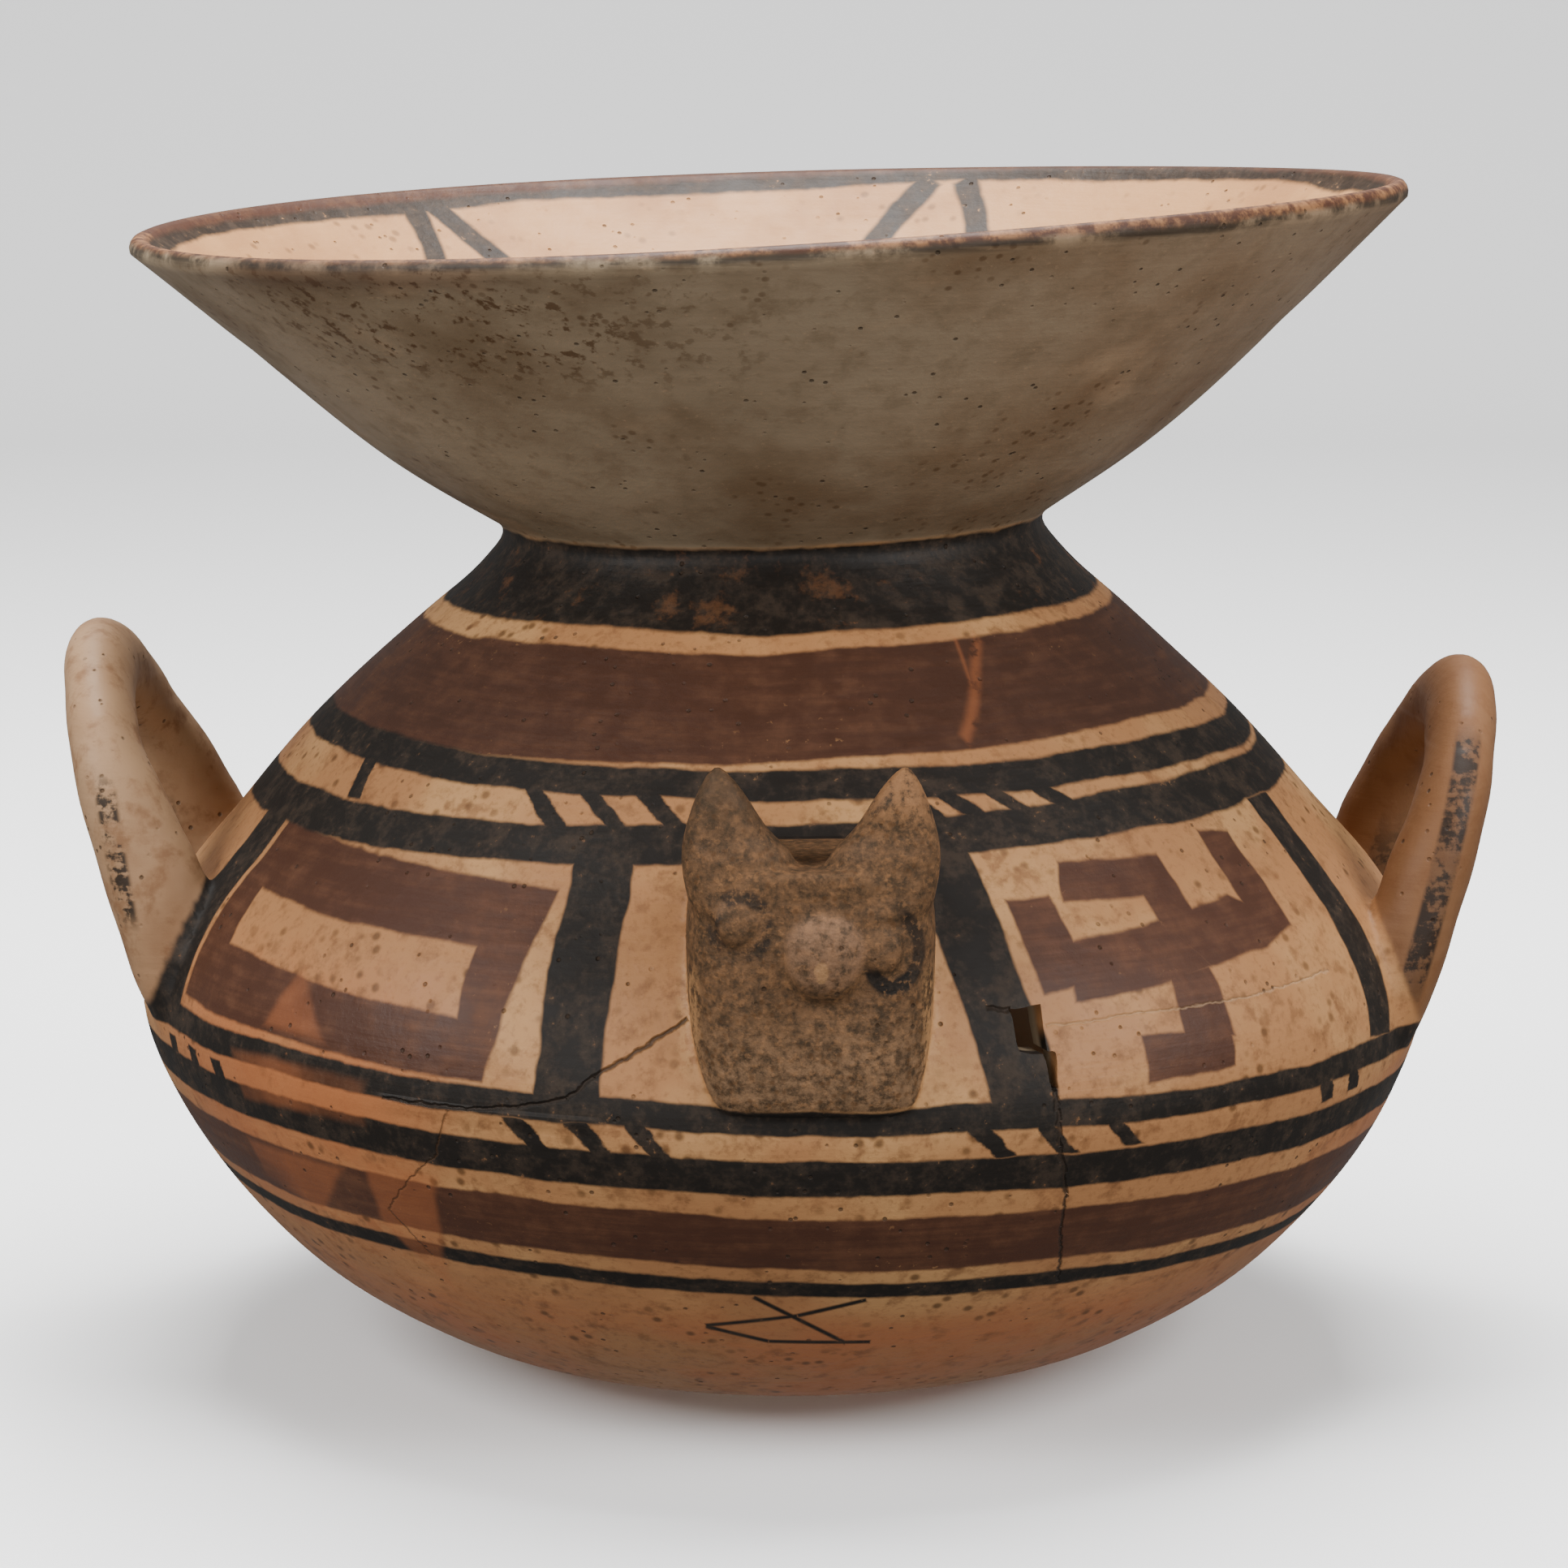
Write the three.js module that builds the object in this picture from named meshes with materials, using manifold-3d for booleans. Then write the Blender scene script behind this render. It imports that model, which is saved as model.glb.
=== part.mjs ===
// Olla: a round-bellied jar with a wide funnel mouth, two loop handles turned up from its belly and
// a small animal head on its front and back. All of it is one piece of fired clay.
// Millimetres, +Z up, origin in the middle of the flat foot, front head looking along -Y.
import * as THREE from "three";
import { mergeVertices } from "three/addons/utils/BufferGeometryUtils.js";
import Module from "manifold-3d";

// Body, as outer sizes
const FOOT_RADIUS = 45;
const BELLY_RADIUS = 144.3;
const BELLY_HEIGHT = 82;
const NECK_RADIUS = 58.8;
const NECK_HEIGHT = 185;
const MOUTH_RADIUS = 142.8;
const MOUTH_HEIGHT = 256;
const BODY_WALL = 6.5;
const LIP_THICKNESS = 4.2;
const NECK_FILLET = 3;

// Proportions of the body's outline. The bowl is a flattened ellipse with this power, taken at these
// shares of its height. The other two lists are [share of the change in radius, share of the rise].
const BOWL_POWER = 1.55;
const BOWL_STATIONS = [0, 0.06, 0.16, 0.32, 0.54, 0.78];
const SHOULDER = [
  [0, 0],
  [0.079, 0.194],
  [0.267, 0.388],
  [0.473, 0.583],
  [0.74, 0.79],
  [0.893, 0.9],
  [1, 1],
];
const FUNNEL = [[0, 0], [0.33, 0.27], [0.68, 0.64], [1, 1]];

// What the potter's hand left: the axis leans, the neck and then the mouth sit tilted on it, and the
// mouth is a little warped
const AXIS_LEAN = -0.019;
const NECK_TILT = 0.028;
const MOUTH_TILT = 0.0445;
const MOUTH_WARP = 1;
const TILT_START = 150;
const TILT_END = 192;

// Loop handles: a rod bent to an arch, with its two roots side by side on the belly. Below the flare's
// end the rod thickens towards the wall, and below the sink's start it runs into the wall. These two
// and the arch's corners, [share of the half span, share of the rise], are shares of the handle's size.
const HANDLE_SPAN = 88;
const ROD_ACROSS = 15.5;
const ROD_DEPTH = 20;
const HANDLE_LEAN = THREE.MathUtils.degToRad(16.8);
const ROOT_DEPTH = 6;
const ROOT_SINK = 9;
const ROOT_DIP = 0.32;
const SINK_START = 0.1;
const FLARE_END = 0.8;
const ARCH = [[-1, -ROOT_DIP], [-1, 0], [-0.98, 0.38], [-0.74, 0.78], [0, 1]];
const HANDLES = [
  { side: -1, rootHeight: 84, rise: 72, flare: 1.6 },
  { side: 1, rootHeight: 79, rise: 68.5, flare: 0.9 },
];

// Heads: a rounded block that stands out of the shoulder as the wall draws back, with two ears on its
// front corners and a round nose
const HEAD_WIDTH = 50.5;
const HEAD_BOTTOM_WIDTH = 46;
const HEAD_BOTTOM = 81;
const HEAD_TOP = 133.5;
const HEAD_REACH = 6;
const HEAD_DEPTH = 52;
const HEAD_OFFSET = 4;
const HEAD_SQUARENESS = 3.4;
const HEAD_TOP_SHARE = 0.4;
const HEAD_TOP_ROUNDING = 6;
const EAR_TOP = 153.5;
const EAR_ROOT = 124;
const EAR_SPACING = 37;
const EAR_ROOT_SPACING = 23;
const EAR_ROOT_WIDTH = 28;
const EAR_ROOT_DEPTH = 19;
const EAR_POWER = 0.65;
const EAR_SIDE_POWER = 0.52;
const NOSE_RADIUS = 8;
const NOSE_HEIGHT = 117;
const NOSE_OFFSET = 2.5;
const NOSE_OUT = 4.5;
const NOSE_DEPTH = 0.7;

// Hole where a chip of the wall is lost, right of the front head: its middle, its corners in the
// wall's surface as [sideways, up], and how far round the belly it lies
const HOLE_ANGLE = THREE.MathUtils.degToRad(20.3);
const HOLE_HEIGHT = 98;
const HOLE_CORNERS = [
  [-3.6, 3.9],
  [3.4, 4.3],
  [3.1, -4.4],
  [4.9, -5],
  [4.6, -11.5],
  [3.2, -11.9],
  [2, -4.9],
  [-3, -4],
];

// Fineness of the facets
const AROUND = 60;
const BODY_STEPS = 14;
const FUNNEL_STEPS = 6;
const LIP_STEPS = 3;
const ROD_SIDES = 10;
const ROD_STEPS = 18;
const HEAD_SIDES = 20;
const HEAD_LEVELS = 6;
const EAR_SIDES = 10;
const EAR_LEVELS = 5;
const NOSE_SIDES = 12;

const wasm = await Module();
wasm.setup();

const clay = new THREE.MeshStandardMaterial({ color: 0xb98f66, roughness: 0.62, metalness: 0 });

// A three.js geometry as a solid with merged corners
function solidOf(geometry) {
  const bare = geometry.clone();
  bare.deleteAttribute("normal");
  bare.deleteAttribute("uv");
  const merged = mergeVertices(bare, 1e-3);
  const triVerts = new Uint32Array(merged.index.array);
  return new wasm.Manifold(
    new wasm.Mesh({ numProp: 3, vertProperties: merged.attributes.position.array, triVerts }),
  );
}

function geometryOf(solid) {
  const mesh = solid.getMesh();
  const geometry = new THREE.BufferGeometry();
  geometry.setAttribute("position", new THREE.BufferAttribute(mesh.vertProperties, mesh.numProp));
  geometry.setIndex(new THREE.BufferAttribute(mesh.triVerts, 1));
  return geometry;
}

// Moves every corner of a geometry by a function of its place
function reshape(geometry, move) {
  const places = geometry.attributes.position;
  const corner = new THREE.Vector3();
  for (let i = 0; i < places.count; i += 1) {
    corner.fromBufferAttribute(places, i);
    move(corner);
    places.setXYZ(i, corner.x, corner.y, corner.z);
  }
  return geometry;
}

// The lean of the axis, the tilt of neck and mouth, and the mouth's warp
function settle(corner) {
  const neck = THREE.MathUtils.smoothstep(corner.z, TILT_START, TILT_END);
  const mouth = Math.max(0, (corner.z - NECK_HEIGHT) / (MOUTH_HEIGHT - NECK_HEIGHT)) ** 2;
  const angle = Math.atan2(corner.y, corner.x);
  const tilt = NECK_TILT * neck + (MOUTH_TILT - NECK_TILT) * mouth;
  corner.z += tilt * corner.x - MOUTH_WARP * mouth * Math.sin(2 * angle);
  corner.x += AXIS_LEAN * corner.z;
}

// Places [radius, height] between two ends, from shares of the change in each
function between(from, to, shares) {
  return shares.map(([across, up]) => new THREE.Vector2(
    from[0] + (to[0] - from[0]) * across,
    from[1] + (to[1] - from[1]) * up,
  ));
}

// The belly's outer outline from the edge of the foot to the crease of the neck
function bodyOutline() {
  const bowl = BOWL_STATIONS.map((up) => [Math.sqrt(1 - (1 - up) ** BOWL_POWER), up]);
  const belly = [BELLY_RADIUS, BELLY_HEIGHT];
  const places = [
    ...between([FOOT_RADIUS, 0], belly, bowl),
    ...between(belly, [NECK_RADIUS, NECK_HEIGHT], SHOULDER),
  ];
  return new THREE.SplineCurve(places).getSpacedPoints(BODY_STEPS);
}

function funnelOutline() {
  const lip = [MOUTH_RADIUS - LIP_THICKNESS / 2, MOUTH_HEIGHT - LIP_THICKNESS];
  const places = between([NECK_RADIUS, NECK_HEIGHT], lip, FUNNEL);
  return new THREE.SplineCurve(places).getSpacedPoints(FUNNEL_STEPS);
}

// The whole outer outline from the foot to the lip, with the neck's crease rounded a little
function outerOutline() {
  const body = bodyOutline();
  const funnel = funnelOutline();
  const crease = funnel[0];
  const below = body.at(-2).clone().sub(crease).setLength(NECK_FILLET).add(crease);
  const above = funnel[1].clone().sub(crease).setLength(NECK_FILLET).add(crease);
  const middle = below.clone().add(above).multiplyScalar(0.5).lerp(crease, 0.5);
  return [...body.slice(0, -1), below, middle, above, ...funnel.slice(1)];
}

// The outline moved into the wall, by the body's wall up to the neck and thinning to the lip above it
function offsetOutline(outer, share) {
  return outer.map((point, i) => {
    const before = outer[Math.max(i - 1, 0)];
    const after = outer[Math.min(i + 1, outer.length - 1)];
    const along = after.clone().sub(before).normalize();
    const rise = THREE.MathUtils.clamp((point.y - NECK_HEIGHT) / (MOUTH_HEIGHT - NECK_HEIGHT), 0, 1);
    const wall = THREE.MathUtils.lerp(BODY_WALL, LIP_THICKNESS, rise) * share;
    return new THREE.Vector2(point.x - along.y * wall, point.y + along.x * wall);
  });
}

function lipPoints(outer, inner) {
  const start = outer.at(-1);
  const end = inner.at(-1);
  const middle = start.clone().add(end).multiplyScalar(0.5);
  const half = start.clone().sub(middle);
  return Array.from({ length: LIP_STEPS - 1 }, (_, i) => {
    const turn = (Math.PI * (i + 1)) / LIP_STEPS;
    return half.clone().rotateAround(new THREE.Vector2(), turn).add(middle);
  });
}

function turned(points) {
  return solidOf(reshape(new THREE.LatheGeometry(points, AROUND).rotateX(Math.PI / 2), settle));
}

function vesselShell() {
  const outer = outerOutline();
  const inner = offsetOutline(outer, 1).slice(1);
  const floor = new THREE.Vector2(0, BODY_WALL);
  const foot = new THREE.Vector2(0, 0);
  return turned([foot, ...outer, ...lipPoints(outer, inner), ...inner.toReversed(), floor]);
}

// What lies inside the middle of the wall, up to the neck: handles and heads end at it
function withinTheWall() {
  const outline = offsetOutline(outerOutline(), 0.5).slice(1);
  const body = outline.filter((point) => point.y < NECK_HEIGHT);
  return turned([new THREE.Vector2(0, BODY_WALL / 2), ...body, new THREE.Vector2(0, body.at(-1).y)]);
}

// The arch of a handle lies in its own plane, u along the wall and h up, and w points out of it
function handleArch(rise) {
  const mirrored = ARCH.slice(0, -1).toReversed().map(([u, h]) => [-u, h]);
  const places = [...ARCH, ...mirrored].map(([u, h]) => {
    return new THREE.Vector3((u * HANDLE_SPAN) / 2, h * rise, 0);
  });
  return new THREE.CatmullRomCurve3(places, false, "centripetal");
}

function handle({ side, rootHeight, rise, flare }) {
  const section = new THREE.Shape();
  section.absellipse(0, 0, ROD_DEPTH / 2, ROD_ACROSS / 2, 0, 2 * Math.PI);
  const rod = new THREE.ExtrudeGeometry(section, {
    steps: ROD_STEPS,
    curveSegments: ROD_SIDES,
    extrudePath: handleArch(rise),
  });
  const rootRadius = Math.sqrt(BELLY_RADIUS ** 2 - (HANDLE_SPAN / 2) ** 2) - ROOT_DEPTH;
  const out = new THREE.Vector3(side * Math.cos(HANDLE_LEAN), 0, -Math.sin(HANDLE_LEAN));
  const up = new THREE.Vector3(side * Math.sin(HANDLE_LEAN), 0, Math.cos(HANDLE_LEAN));
  const along = new THREE.Vector3().crossVectors(up, out);
  const place = new THREE.Matrix4().makeBasis(along, up, out);
  place.setPosition(side * rootRadius + AXIS_LEAN * rootHeight, 0, rootHeight);
  reshape(rod, (corner) => {
    const low = Math.max(0, 1 - corner.y / (FLARE_END * rise));
    const sunk = Math.max(0, SINK_START - corner.y / rise) / (SINK_START + ROOT_DIP);
    corner.z *= corner.z < 0 ? 1 + flare * low : 1;
    corner.z -= ROOT_SINK * sunk * Math.sqrt(sunk);
  });
  return solidOf(rod.applyMatrix4(place));
}

// A closed solid made of level sections: at a share of its height, section gives the section's
// half width, half depth, middle and height, and squareness makes it anything from an ellipse up
function levelled(sides, levels, squareness, section) {
  const block = new THREE.CylinderGeometry(1, 1, 1, sides, levels).rotateX(Math.PI / 2);
  return solidOf(reshape(block, (corner) => {
    const { width, depth, middle, height } = section(corner.z + 0.5);
    const bulge = (share) => Math.sign(share) * Math.abs(share) ** (2 / squareness);
    corner.set(middle[0] + width * bulge(corner.x), middle[1] + depth * bulge(corner.y), height);
  }));
}

function headBlock() {
  return levelled(HEAD_SIDES, HEAD_LEVELS, HEAD_SQUARENESS, (share) => {
    const up = Math.sin((share * Math.PI) / 2);
    const closing = Math.sqrt(Math.max(0, 1 - up ** (2 * HEAD_TOP_ROUNDING)));
    const front = BELLY_RADIUS + HEAD_REACH * Math.sqrt(up);
    const width = THREE.MathUtils.lerp(HEAD_BOTTOM_WIDTH, HEAD_WIDTH, Math.sin((up * Math.PI) / 2)) / 2;
    return {
      width: width * THREE.MathUtils.lerp(HEAD_TOP_SHARE, 1, closing),
      depth: HEAD_DEPTH / 2,
      middle: [0, HEAD_DEPTH / 2 - front],
      height: THREE.MathUtils.lerp(HEAD_BOTTOM, HEAD_TOP, up),
    };
  });
}

// An ear narrows upwards to a rounded tip and leans out as it rises
function ear(side) {
  return levelled(EAR_SIDES, EAR_LEVELS, 2, (share) => {
    const up = Math.sin((share * Math.PI) / 2);
    return {
      width: (EAR_ROOT_WIDTH / 2) * (1 - up) ** EAR_POWER,
      depth: (EAR_ROOT_DEPTH / 2) * (1 - up) ** EAR_SIDE_POWER,
      middle: [
        (side * THREE.MathUtils.lerp(EAR_ROOT_SPACING, EAR_SPACING, Math.sqrt(up))) / 2,
        EAR_ROOT_DEPTH / 2 - BELLY_RADIUS - HEAD_REACH,
      ],
      height: THREE.MathUtils.lerp(EAR_ROOT, EAR_TOP, up),
    };
  });
}

function nose() {
  const ball = new THREE.SphereGeometry(NOSE_RADIUS, NOSE_SIDES, NOSE_SIDES / 2);
  ball.rotateX(Math.PI / 2).scale(1, NOSE_DEPTH, 1);
  const out = BELLY_RADIUS + HEAD_REACH + NOSE_OUT - NOSE_RADIUS * NOSE_DEPTH;
  return solidOf(ball.translate(NOSE_OFFSET, -out, NOSE_HEIGHT));
}

// A head stands a little off the middle of the front, and the back's is turned half round from it
function head(turn) {
  const shape = geometryOf(headBlock().add(ear(-1)).add(ear(1)).add(nose()));
  return solidOf(shape.translate(HEAD_OFFSET, 0, 0).rotateZ(turn));
}

function holeCutter() {
  const corners = HOLE_CORNERS.map(([across, up]) => new THREE.Vector2(across, up));
  const cutter = new THREE.ExtrudeGeometry(new THREE.Shape(corners), {
    depth: 6 * BODY_WALL,
    bevelEnabled: false,
  });
  cutter.rotateX(Math.PI / 2);
  cutter.translate(0, 3 * BODY_WALL - BELLY_RADIUS, HOLE_HEIGHT);
  cutter.rotateZ(HOLE_ANGLE);
  return solidOf(cutter);
}

function olla() {
  const within = withinTheWall();
  const added = [...HANDLES.map(handle), head(0), head(Math.PI)];
  const whole = added.reduce((solid, piece) => solid.add(piece.subtract(within)), vesselShell());
  const mesh = new THREE.Mesh(geometryOf(whole.subtract(holeCutter())), clay);
  mesh.name = "olla";
  return mesh;
}

const group = new THREE.Group();
group.add(olla());

export default group;
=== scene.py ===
"""Looks of a painted clay jar with a funnel mouth, two loop handles and animal heads, in Blender 4.5."""
import math

import bpy
import numpy as np
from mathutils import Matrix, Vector


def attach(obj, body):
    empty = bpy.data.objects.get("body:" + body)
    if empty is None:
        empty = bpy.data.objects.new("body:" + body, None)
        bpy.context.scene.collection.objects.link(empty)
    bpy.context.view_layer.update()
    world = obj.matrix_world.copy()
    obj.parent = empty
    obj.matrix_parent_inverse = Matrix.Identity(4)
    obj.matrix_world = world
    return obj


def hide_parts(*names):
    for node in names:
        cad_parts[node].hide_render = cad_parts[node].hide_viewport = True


bl_info = {
    "name": "Painted jar with a funnel mouth",
    "version": (1, 0, 0),
    "blender": (4, 5, 0),
    "location": "3D View > Sidebar > Jar",
    "description": "Models the jar's clay and paints it",
    "category": "Add Mesh",
}

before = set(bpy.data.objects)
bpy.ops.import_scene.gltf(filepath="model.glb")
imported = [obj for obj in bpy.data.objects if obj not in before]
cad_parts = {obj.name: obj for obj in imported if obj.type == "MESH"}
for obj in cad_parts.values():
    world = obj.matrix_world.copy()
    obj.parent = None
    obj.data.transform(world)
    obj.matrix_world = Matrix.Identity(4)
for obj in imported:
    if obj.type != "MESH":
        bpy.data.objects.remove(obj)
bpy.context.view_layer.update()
MM = 0.001
# More millimetres than the jar has in any direction
FAR = 1000


# Sizes and colours that a user would change


def length(label, text, millimetres):
    """A length property, kept in metres and named for the size it holds."""
    return bpy.props.FloatProperty(
        name=label, description=text, default=millimetres * MM, unit="LENGTH", precision=5
    )


def number(label, text, value):
    return bpy.props.FloatProperty(name=label, description=text, default=value, precision=4)


def colour(label, text, value):
    return bpy.props.FloatVectorProperty(
        name=label, description=text, default=value, size=3, subtype="COLOR", min=0, max=1
    )


class JarSizes(bpy.types.PropertyGroup):
    """Outer sizes of the thrown and hand-built body."""

    foot_radius: length("Foot radius", "Flat spot the jar stands on", 45)
    belly_radius: length("Belly radius", "Widest part of the belly", 144.3)
    belly_height: length("Belly height", "Height of the widest part", 82)
    neck_radius: length("Neck radius", "Crease between belly and funnel", 58.8)
    neck_height: length("Neck height", "Height of the crease", 185)
    mouth_radius: length("Mouth radius", "Outside of the funnel's lip", 142.8)
    mouth_height: length("Mouth height", "Mean height of the lip", 256)
    wall: length("Body wall", "Thickness of the wall up to the neck", 6.5)
    lip: length("Lip thickness", "Thickness of the funnel at its edge", 4.2)
    crease: length("Crease fillet", "How far the neck's crease is rounded", 3)
    lean: number("Lean", "Sideways lean of the axis, a share of the height", -0.019)
    neck_tilt: number("Neck tilt", "Slope of the neck's circle", 0.028)
    mouth_tilt: number("Mouth tilt", "Slope of the mouth's circle", 0.0445)
    warp: length("Mouth warp", "How far the lip leaves a plane", 1)


class HandleSizes(bpy.types.PropertyGroup):
    """Sizes of the two loops of rolled clay."""

    span: length("Span", "Distance between the middles of a loop's legs", 88)
    across: length("Roll thickness", "Roll's size in and out of the loop's plane", 15.5)
    depth: length("Roll width", "Roll's size in the loop's plane", 20)
    lean: bpy.props.FloatProperty(
        name="Lean", description="How far a loop leans out", default=math.radians(16.8), unit="ROTATION"
    )
    root_depth: length("Root depth", "How far the plane of the loop starts inside the wall", 6)
    root_sink: length("Root sink", "How far the roots run into the wall", 9)


class HeadSizes(bpy.types.PropertyGroup):
    """Sizes of the modelled animal head on the shoulder."""

    width: length("Width", "Width across the head below its ears", 50.5)
    bottom_width: length("Width below", "Width at the bottom of the head", 47)
    bottom: length("Bottom", "Height of the head's lower end", 83)
    top: length("Top", "Height of the saddle between the ears", 133.5)
    reach: length("Reach", "How far the face stands out of the belly's widest circle", 6)
    depth: length("Depth", "Depth of the head's block", 52)
    ear_top: length("Ear tip", "Height of the ears", 153.5)
    ear_root: length("Ear root", "Height where the ears start", 124)
    nose_radius: length("Nose radius", "Round knob of the nose", 8)
    eye_radius: length("Eye radius", "Flat pellets of the eyes", 4.3)


class JarColours(bpy.types.PropertyGroup):
    """Colours of the clay and its paints."""

    cream: colour("Cream slip", "Ground the belly is painted on", (0.31, 0.145, 0.058))
    # Pale slip also paints highlights on the nose's tip and down the head's sides.
    cream_light: colour("Pale slip", "Where the slip is thick and clean", (0.4, 0.215, 0.088))
    cream_dark: colour("Stained slip", "Where the slip is worn and brown", (0.13, 0.052, 0.019))
    umber: colour("Brown paint", "Matt red-brown bands and panels", (0.052, 0.019, 0.0095))
    umber_thin: colour("Thin brown paint", "Where the brown is rubbed thin", (0.095, 0.038, 0.018))
    black: colour("Black paint", "Matt black lines", (0.0085, 0.006, 0.0042))
    black_worn: colour("Worn black paint", "Where the black is rubbed grey", (0.03, 0.0195, 0.0125))
    terracotta: colour("Bare fired clay", "Burnished orange patches", (0.33, 0.105, 0.036))
    grey: colour("Grey tan", "Slip on the funnel's outside", (0.26, 0.195, 0.125))
    # Dark grey tan also paints the shade deep inside the neck.
    grey_dark: colour("Dark grey tan", "Smoked part of the funnel", (0.15, 0.1, 0.056))
    rust: colour("Rust", "Brown specks and stains", (0.062, 0.025, 0.006))
    inside: colour("Inside slip", "Cream pink inside the funnel", (0.42, 0.215, 0.088))
    olive: colour("Head", "Dark mottled skin of the head", (0.036, 0.021, 0.0095))
    tan: colour("Handle", "Burnished tan of the handles", (0.2, 0.098, 0.043))
    # Chalky wear also paints light on the left handle.
    dust_and_light: colour("Chalky wear", "Pale worn edges and deposits", (0.4, 0.26, 0.15))
    nose: colour("Nose", "Greyer skin of the head's knob nose", (0.24, 0.135, 0.08))
    crack: colour("Crack", "Dark of the open cracks", (0.02, 0.012, 0.007))
    pore: colour("Pore", "Dark of the small pits", (0.03, 0.017, 0.009))


# Ways to select, shape and join that the pieces share


def sizes():
    scene = bpy.context.scene
    return scene.jar_sizes, scene.handle_sizes, scene.head_sizes


def lerp(start, end, share):
    return start + (end - start) * share


def smooth(value, low, high):
    share = np.clip((value - low) / (high - low), 0, 1)
    return share * share * (3 - 2 * share)


def clear_selection():
    if bpy.context.object and bpy.context.object.mode != "OBJECT":
        bpy.ops.object.mode_set(mode="OBJECT")
    bpy.ops.object.select_all(action="DESELECT")


def take(piece):
    """Makes one piece the only selected and active one."""
    clear_selection()
    piece.select_set(True)
    bpy.context.view_layer.objects.active = piece
    return piece


def named(name):
    piece = bpy.context.object
    piece.name = name
    piece.data.name = name
    bpy.ops.object.transform_apply(location=True, rotation=True, scale=True)
    return piece


def corners(piece):
    places = np.zeros(len(piece.data.vertices) * 3)
    piece.data.vertices.foreach_get("co", places)
    return places.reshape(-1, 3)


def middles(piece):
    """The middle of each face."""
    places = np.zeros(len(piece.data.polygons) * 3)
    piece.data.polygons.foreach_get("center", places)
    return places.reshape(-1, 3)


def in_box(places, x, y, z):
    """Which places lie between two distances from the middle in x and in y, and two heights, in mm."""
    chosen = np.ones(len(places), bool)
    for value, (low, high) in zip((np.abs(places[:, 0]), np.abs(places[:, 1]), places[:, 2]), (x, y, z)):
        chosen &= (value > low * MM) & (value < high * MM)
    return chosen


def press(piece, place):
    """Moves a piece's points to where place puts them, for the bends that no operator gives."""
    places = place(corners(piece))
    piece.data.vertices.foreach_set("co", np.asarray(places, float).ravel())
    piece.data.update()
    return piece


def face_outwards():
    """Turns every face of the mesh in edit mode outwards and leaves edit mode."""
    bpy.ops.mesh.select_all(action="SELECT")
    bpy.ops.mesh.normals_make_consistent(inside=False)
    bpy.ops.object.mode_set(mode="OBJECT")


def worked(piece, kind, **settings):
    """Gives a piece a modifier with these settings and applies it."""
    take(piece)
    tool = piece.modifiers.new(kind.lower(), kind)
    for key, value in settings.items():
        setattr(tool, key, value)
    bpy.ops.object.modifier_apply(modifier=tool.name)


def ringed(count):
    """Cuts the mesh in edit mode, one metre tall, into level rings."""
    for cut in np.linspace(-0.5, 0.5, count + 1)[1:-1]:
        bpy.ops.mesh.select_all(action="SELECT")
        bpy.ops.mesh.bisect(plane_co=(0, 0, cut), plane_no=(0, 0, 1))


def pellet(name, radius, place, squash, segments, rings):
    """A ball of clay pressed out of round."""
    clear_selection()
    bpy.ops.mesh.primitive_uv_sphere_add(
        segments=segments, ring_count=rings, radius=radius, location=place
    )
    bpy.ops.object.mode_set(mode="EDIT")
    bpy.ops.transform.resize(value=squash)
    bpy.ops.object.mode_set(mode="OBJECT")
    return named(name)


def choose_faces(piece, wanted):
    """Selects the faces whose middles are wanted, in edit mode's face selection."""
    take(piece)
    bpy.ops.object.mode_set(mode="EDIT")
    bpy.ops.mesh.select_mode(type="FACE")
    bpy.ops.mesh.select_all(action="DESELECT")
    bpy.ops.object.mode_set(mode="OBJECT")
    piece.data.polygons.foreach_set("select", wanted(middles(piece)))
    bpy.ops.object.mode_set(mode="EDIT")


def curve_points(places, count):
    """Even steps along a smooth curve through places."""
    places = np.asarray(places, float)
    ends = np.vstack([2 * places[0] - places[1], places, 2 * places[-1] - places[-2]])
    t = np.linspace(0, 1, 40, endpoint=False)[:, None]
    fine = []
    for a, b, c, d in zip(ends, ends[1:], ends[2:], ends[3:]):
        curved = (2 * a - 5 * b + 4 * c - d) * t**2 + (3 * b - a - 3 * c + d) * t**3
        fine.append(0.5 * (2 * b + (c - a) * t + curved))
    fine = np.vstack([*fine, places[-1:]])
    run = np.concatenate([[0], np.cumsum(np.linalg.norm(np.diff(fine, axis=0), axis=1))])
    at = np.linspace(0, run[-1], count)
    return np.column_stack([np.interp(at, run, fine[:, k]) for k in range(fine.shape[1])])


# Shares of the way out and up along the bowl, the shoulder and the funnel
BOWL = [(math.sqrt(1 - (1 - up) ** 1.55), up) for up in (0, 0.06, 0.16, 0.32, 0.54, 0.78)]
SHOULDER = [(0, 0), (0.079, 0.194), (0.267, 0.388), (0.473, 0.583), (0.74, 0.79), (0.893, 0.9), (1, 1)]
FUNNEL = [(0, 0), (0.33, 0.27), (0.68, 0.64), (1, 1)]
# Points along the outline, and steps round the axis
BODY_STEPS = 96
FUNNEL_STEPS = 48
AROUND = 232


def between(start, end, shares):
    return [(lerp(start[0], end[0], a), lerp(start[1], end[1], u)) for a, u in shares]


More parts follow.
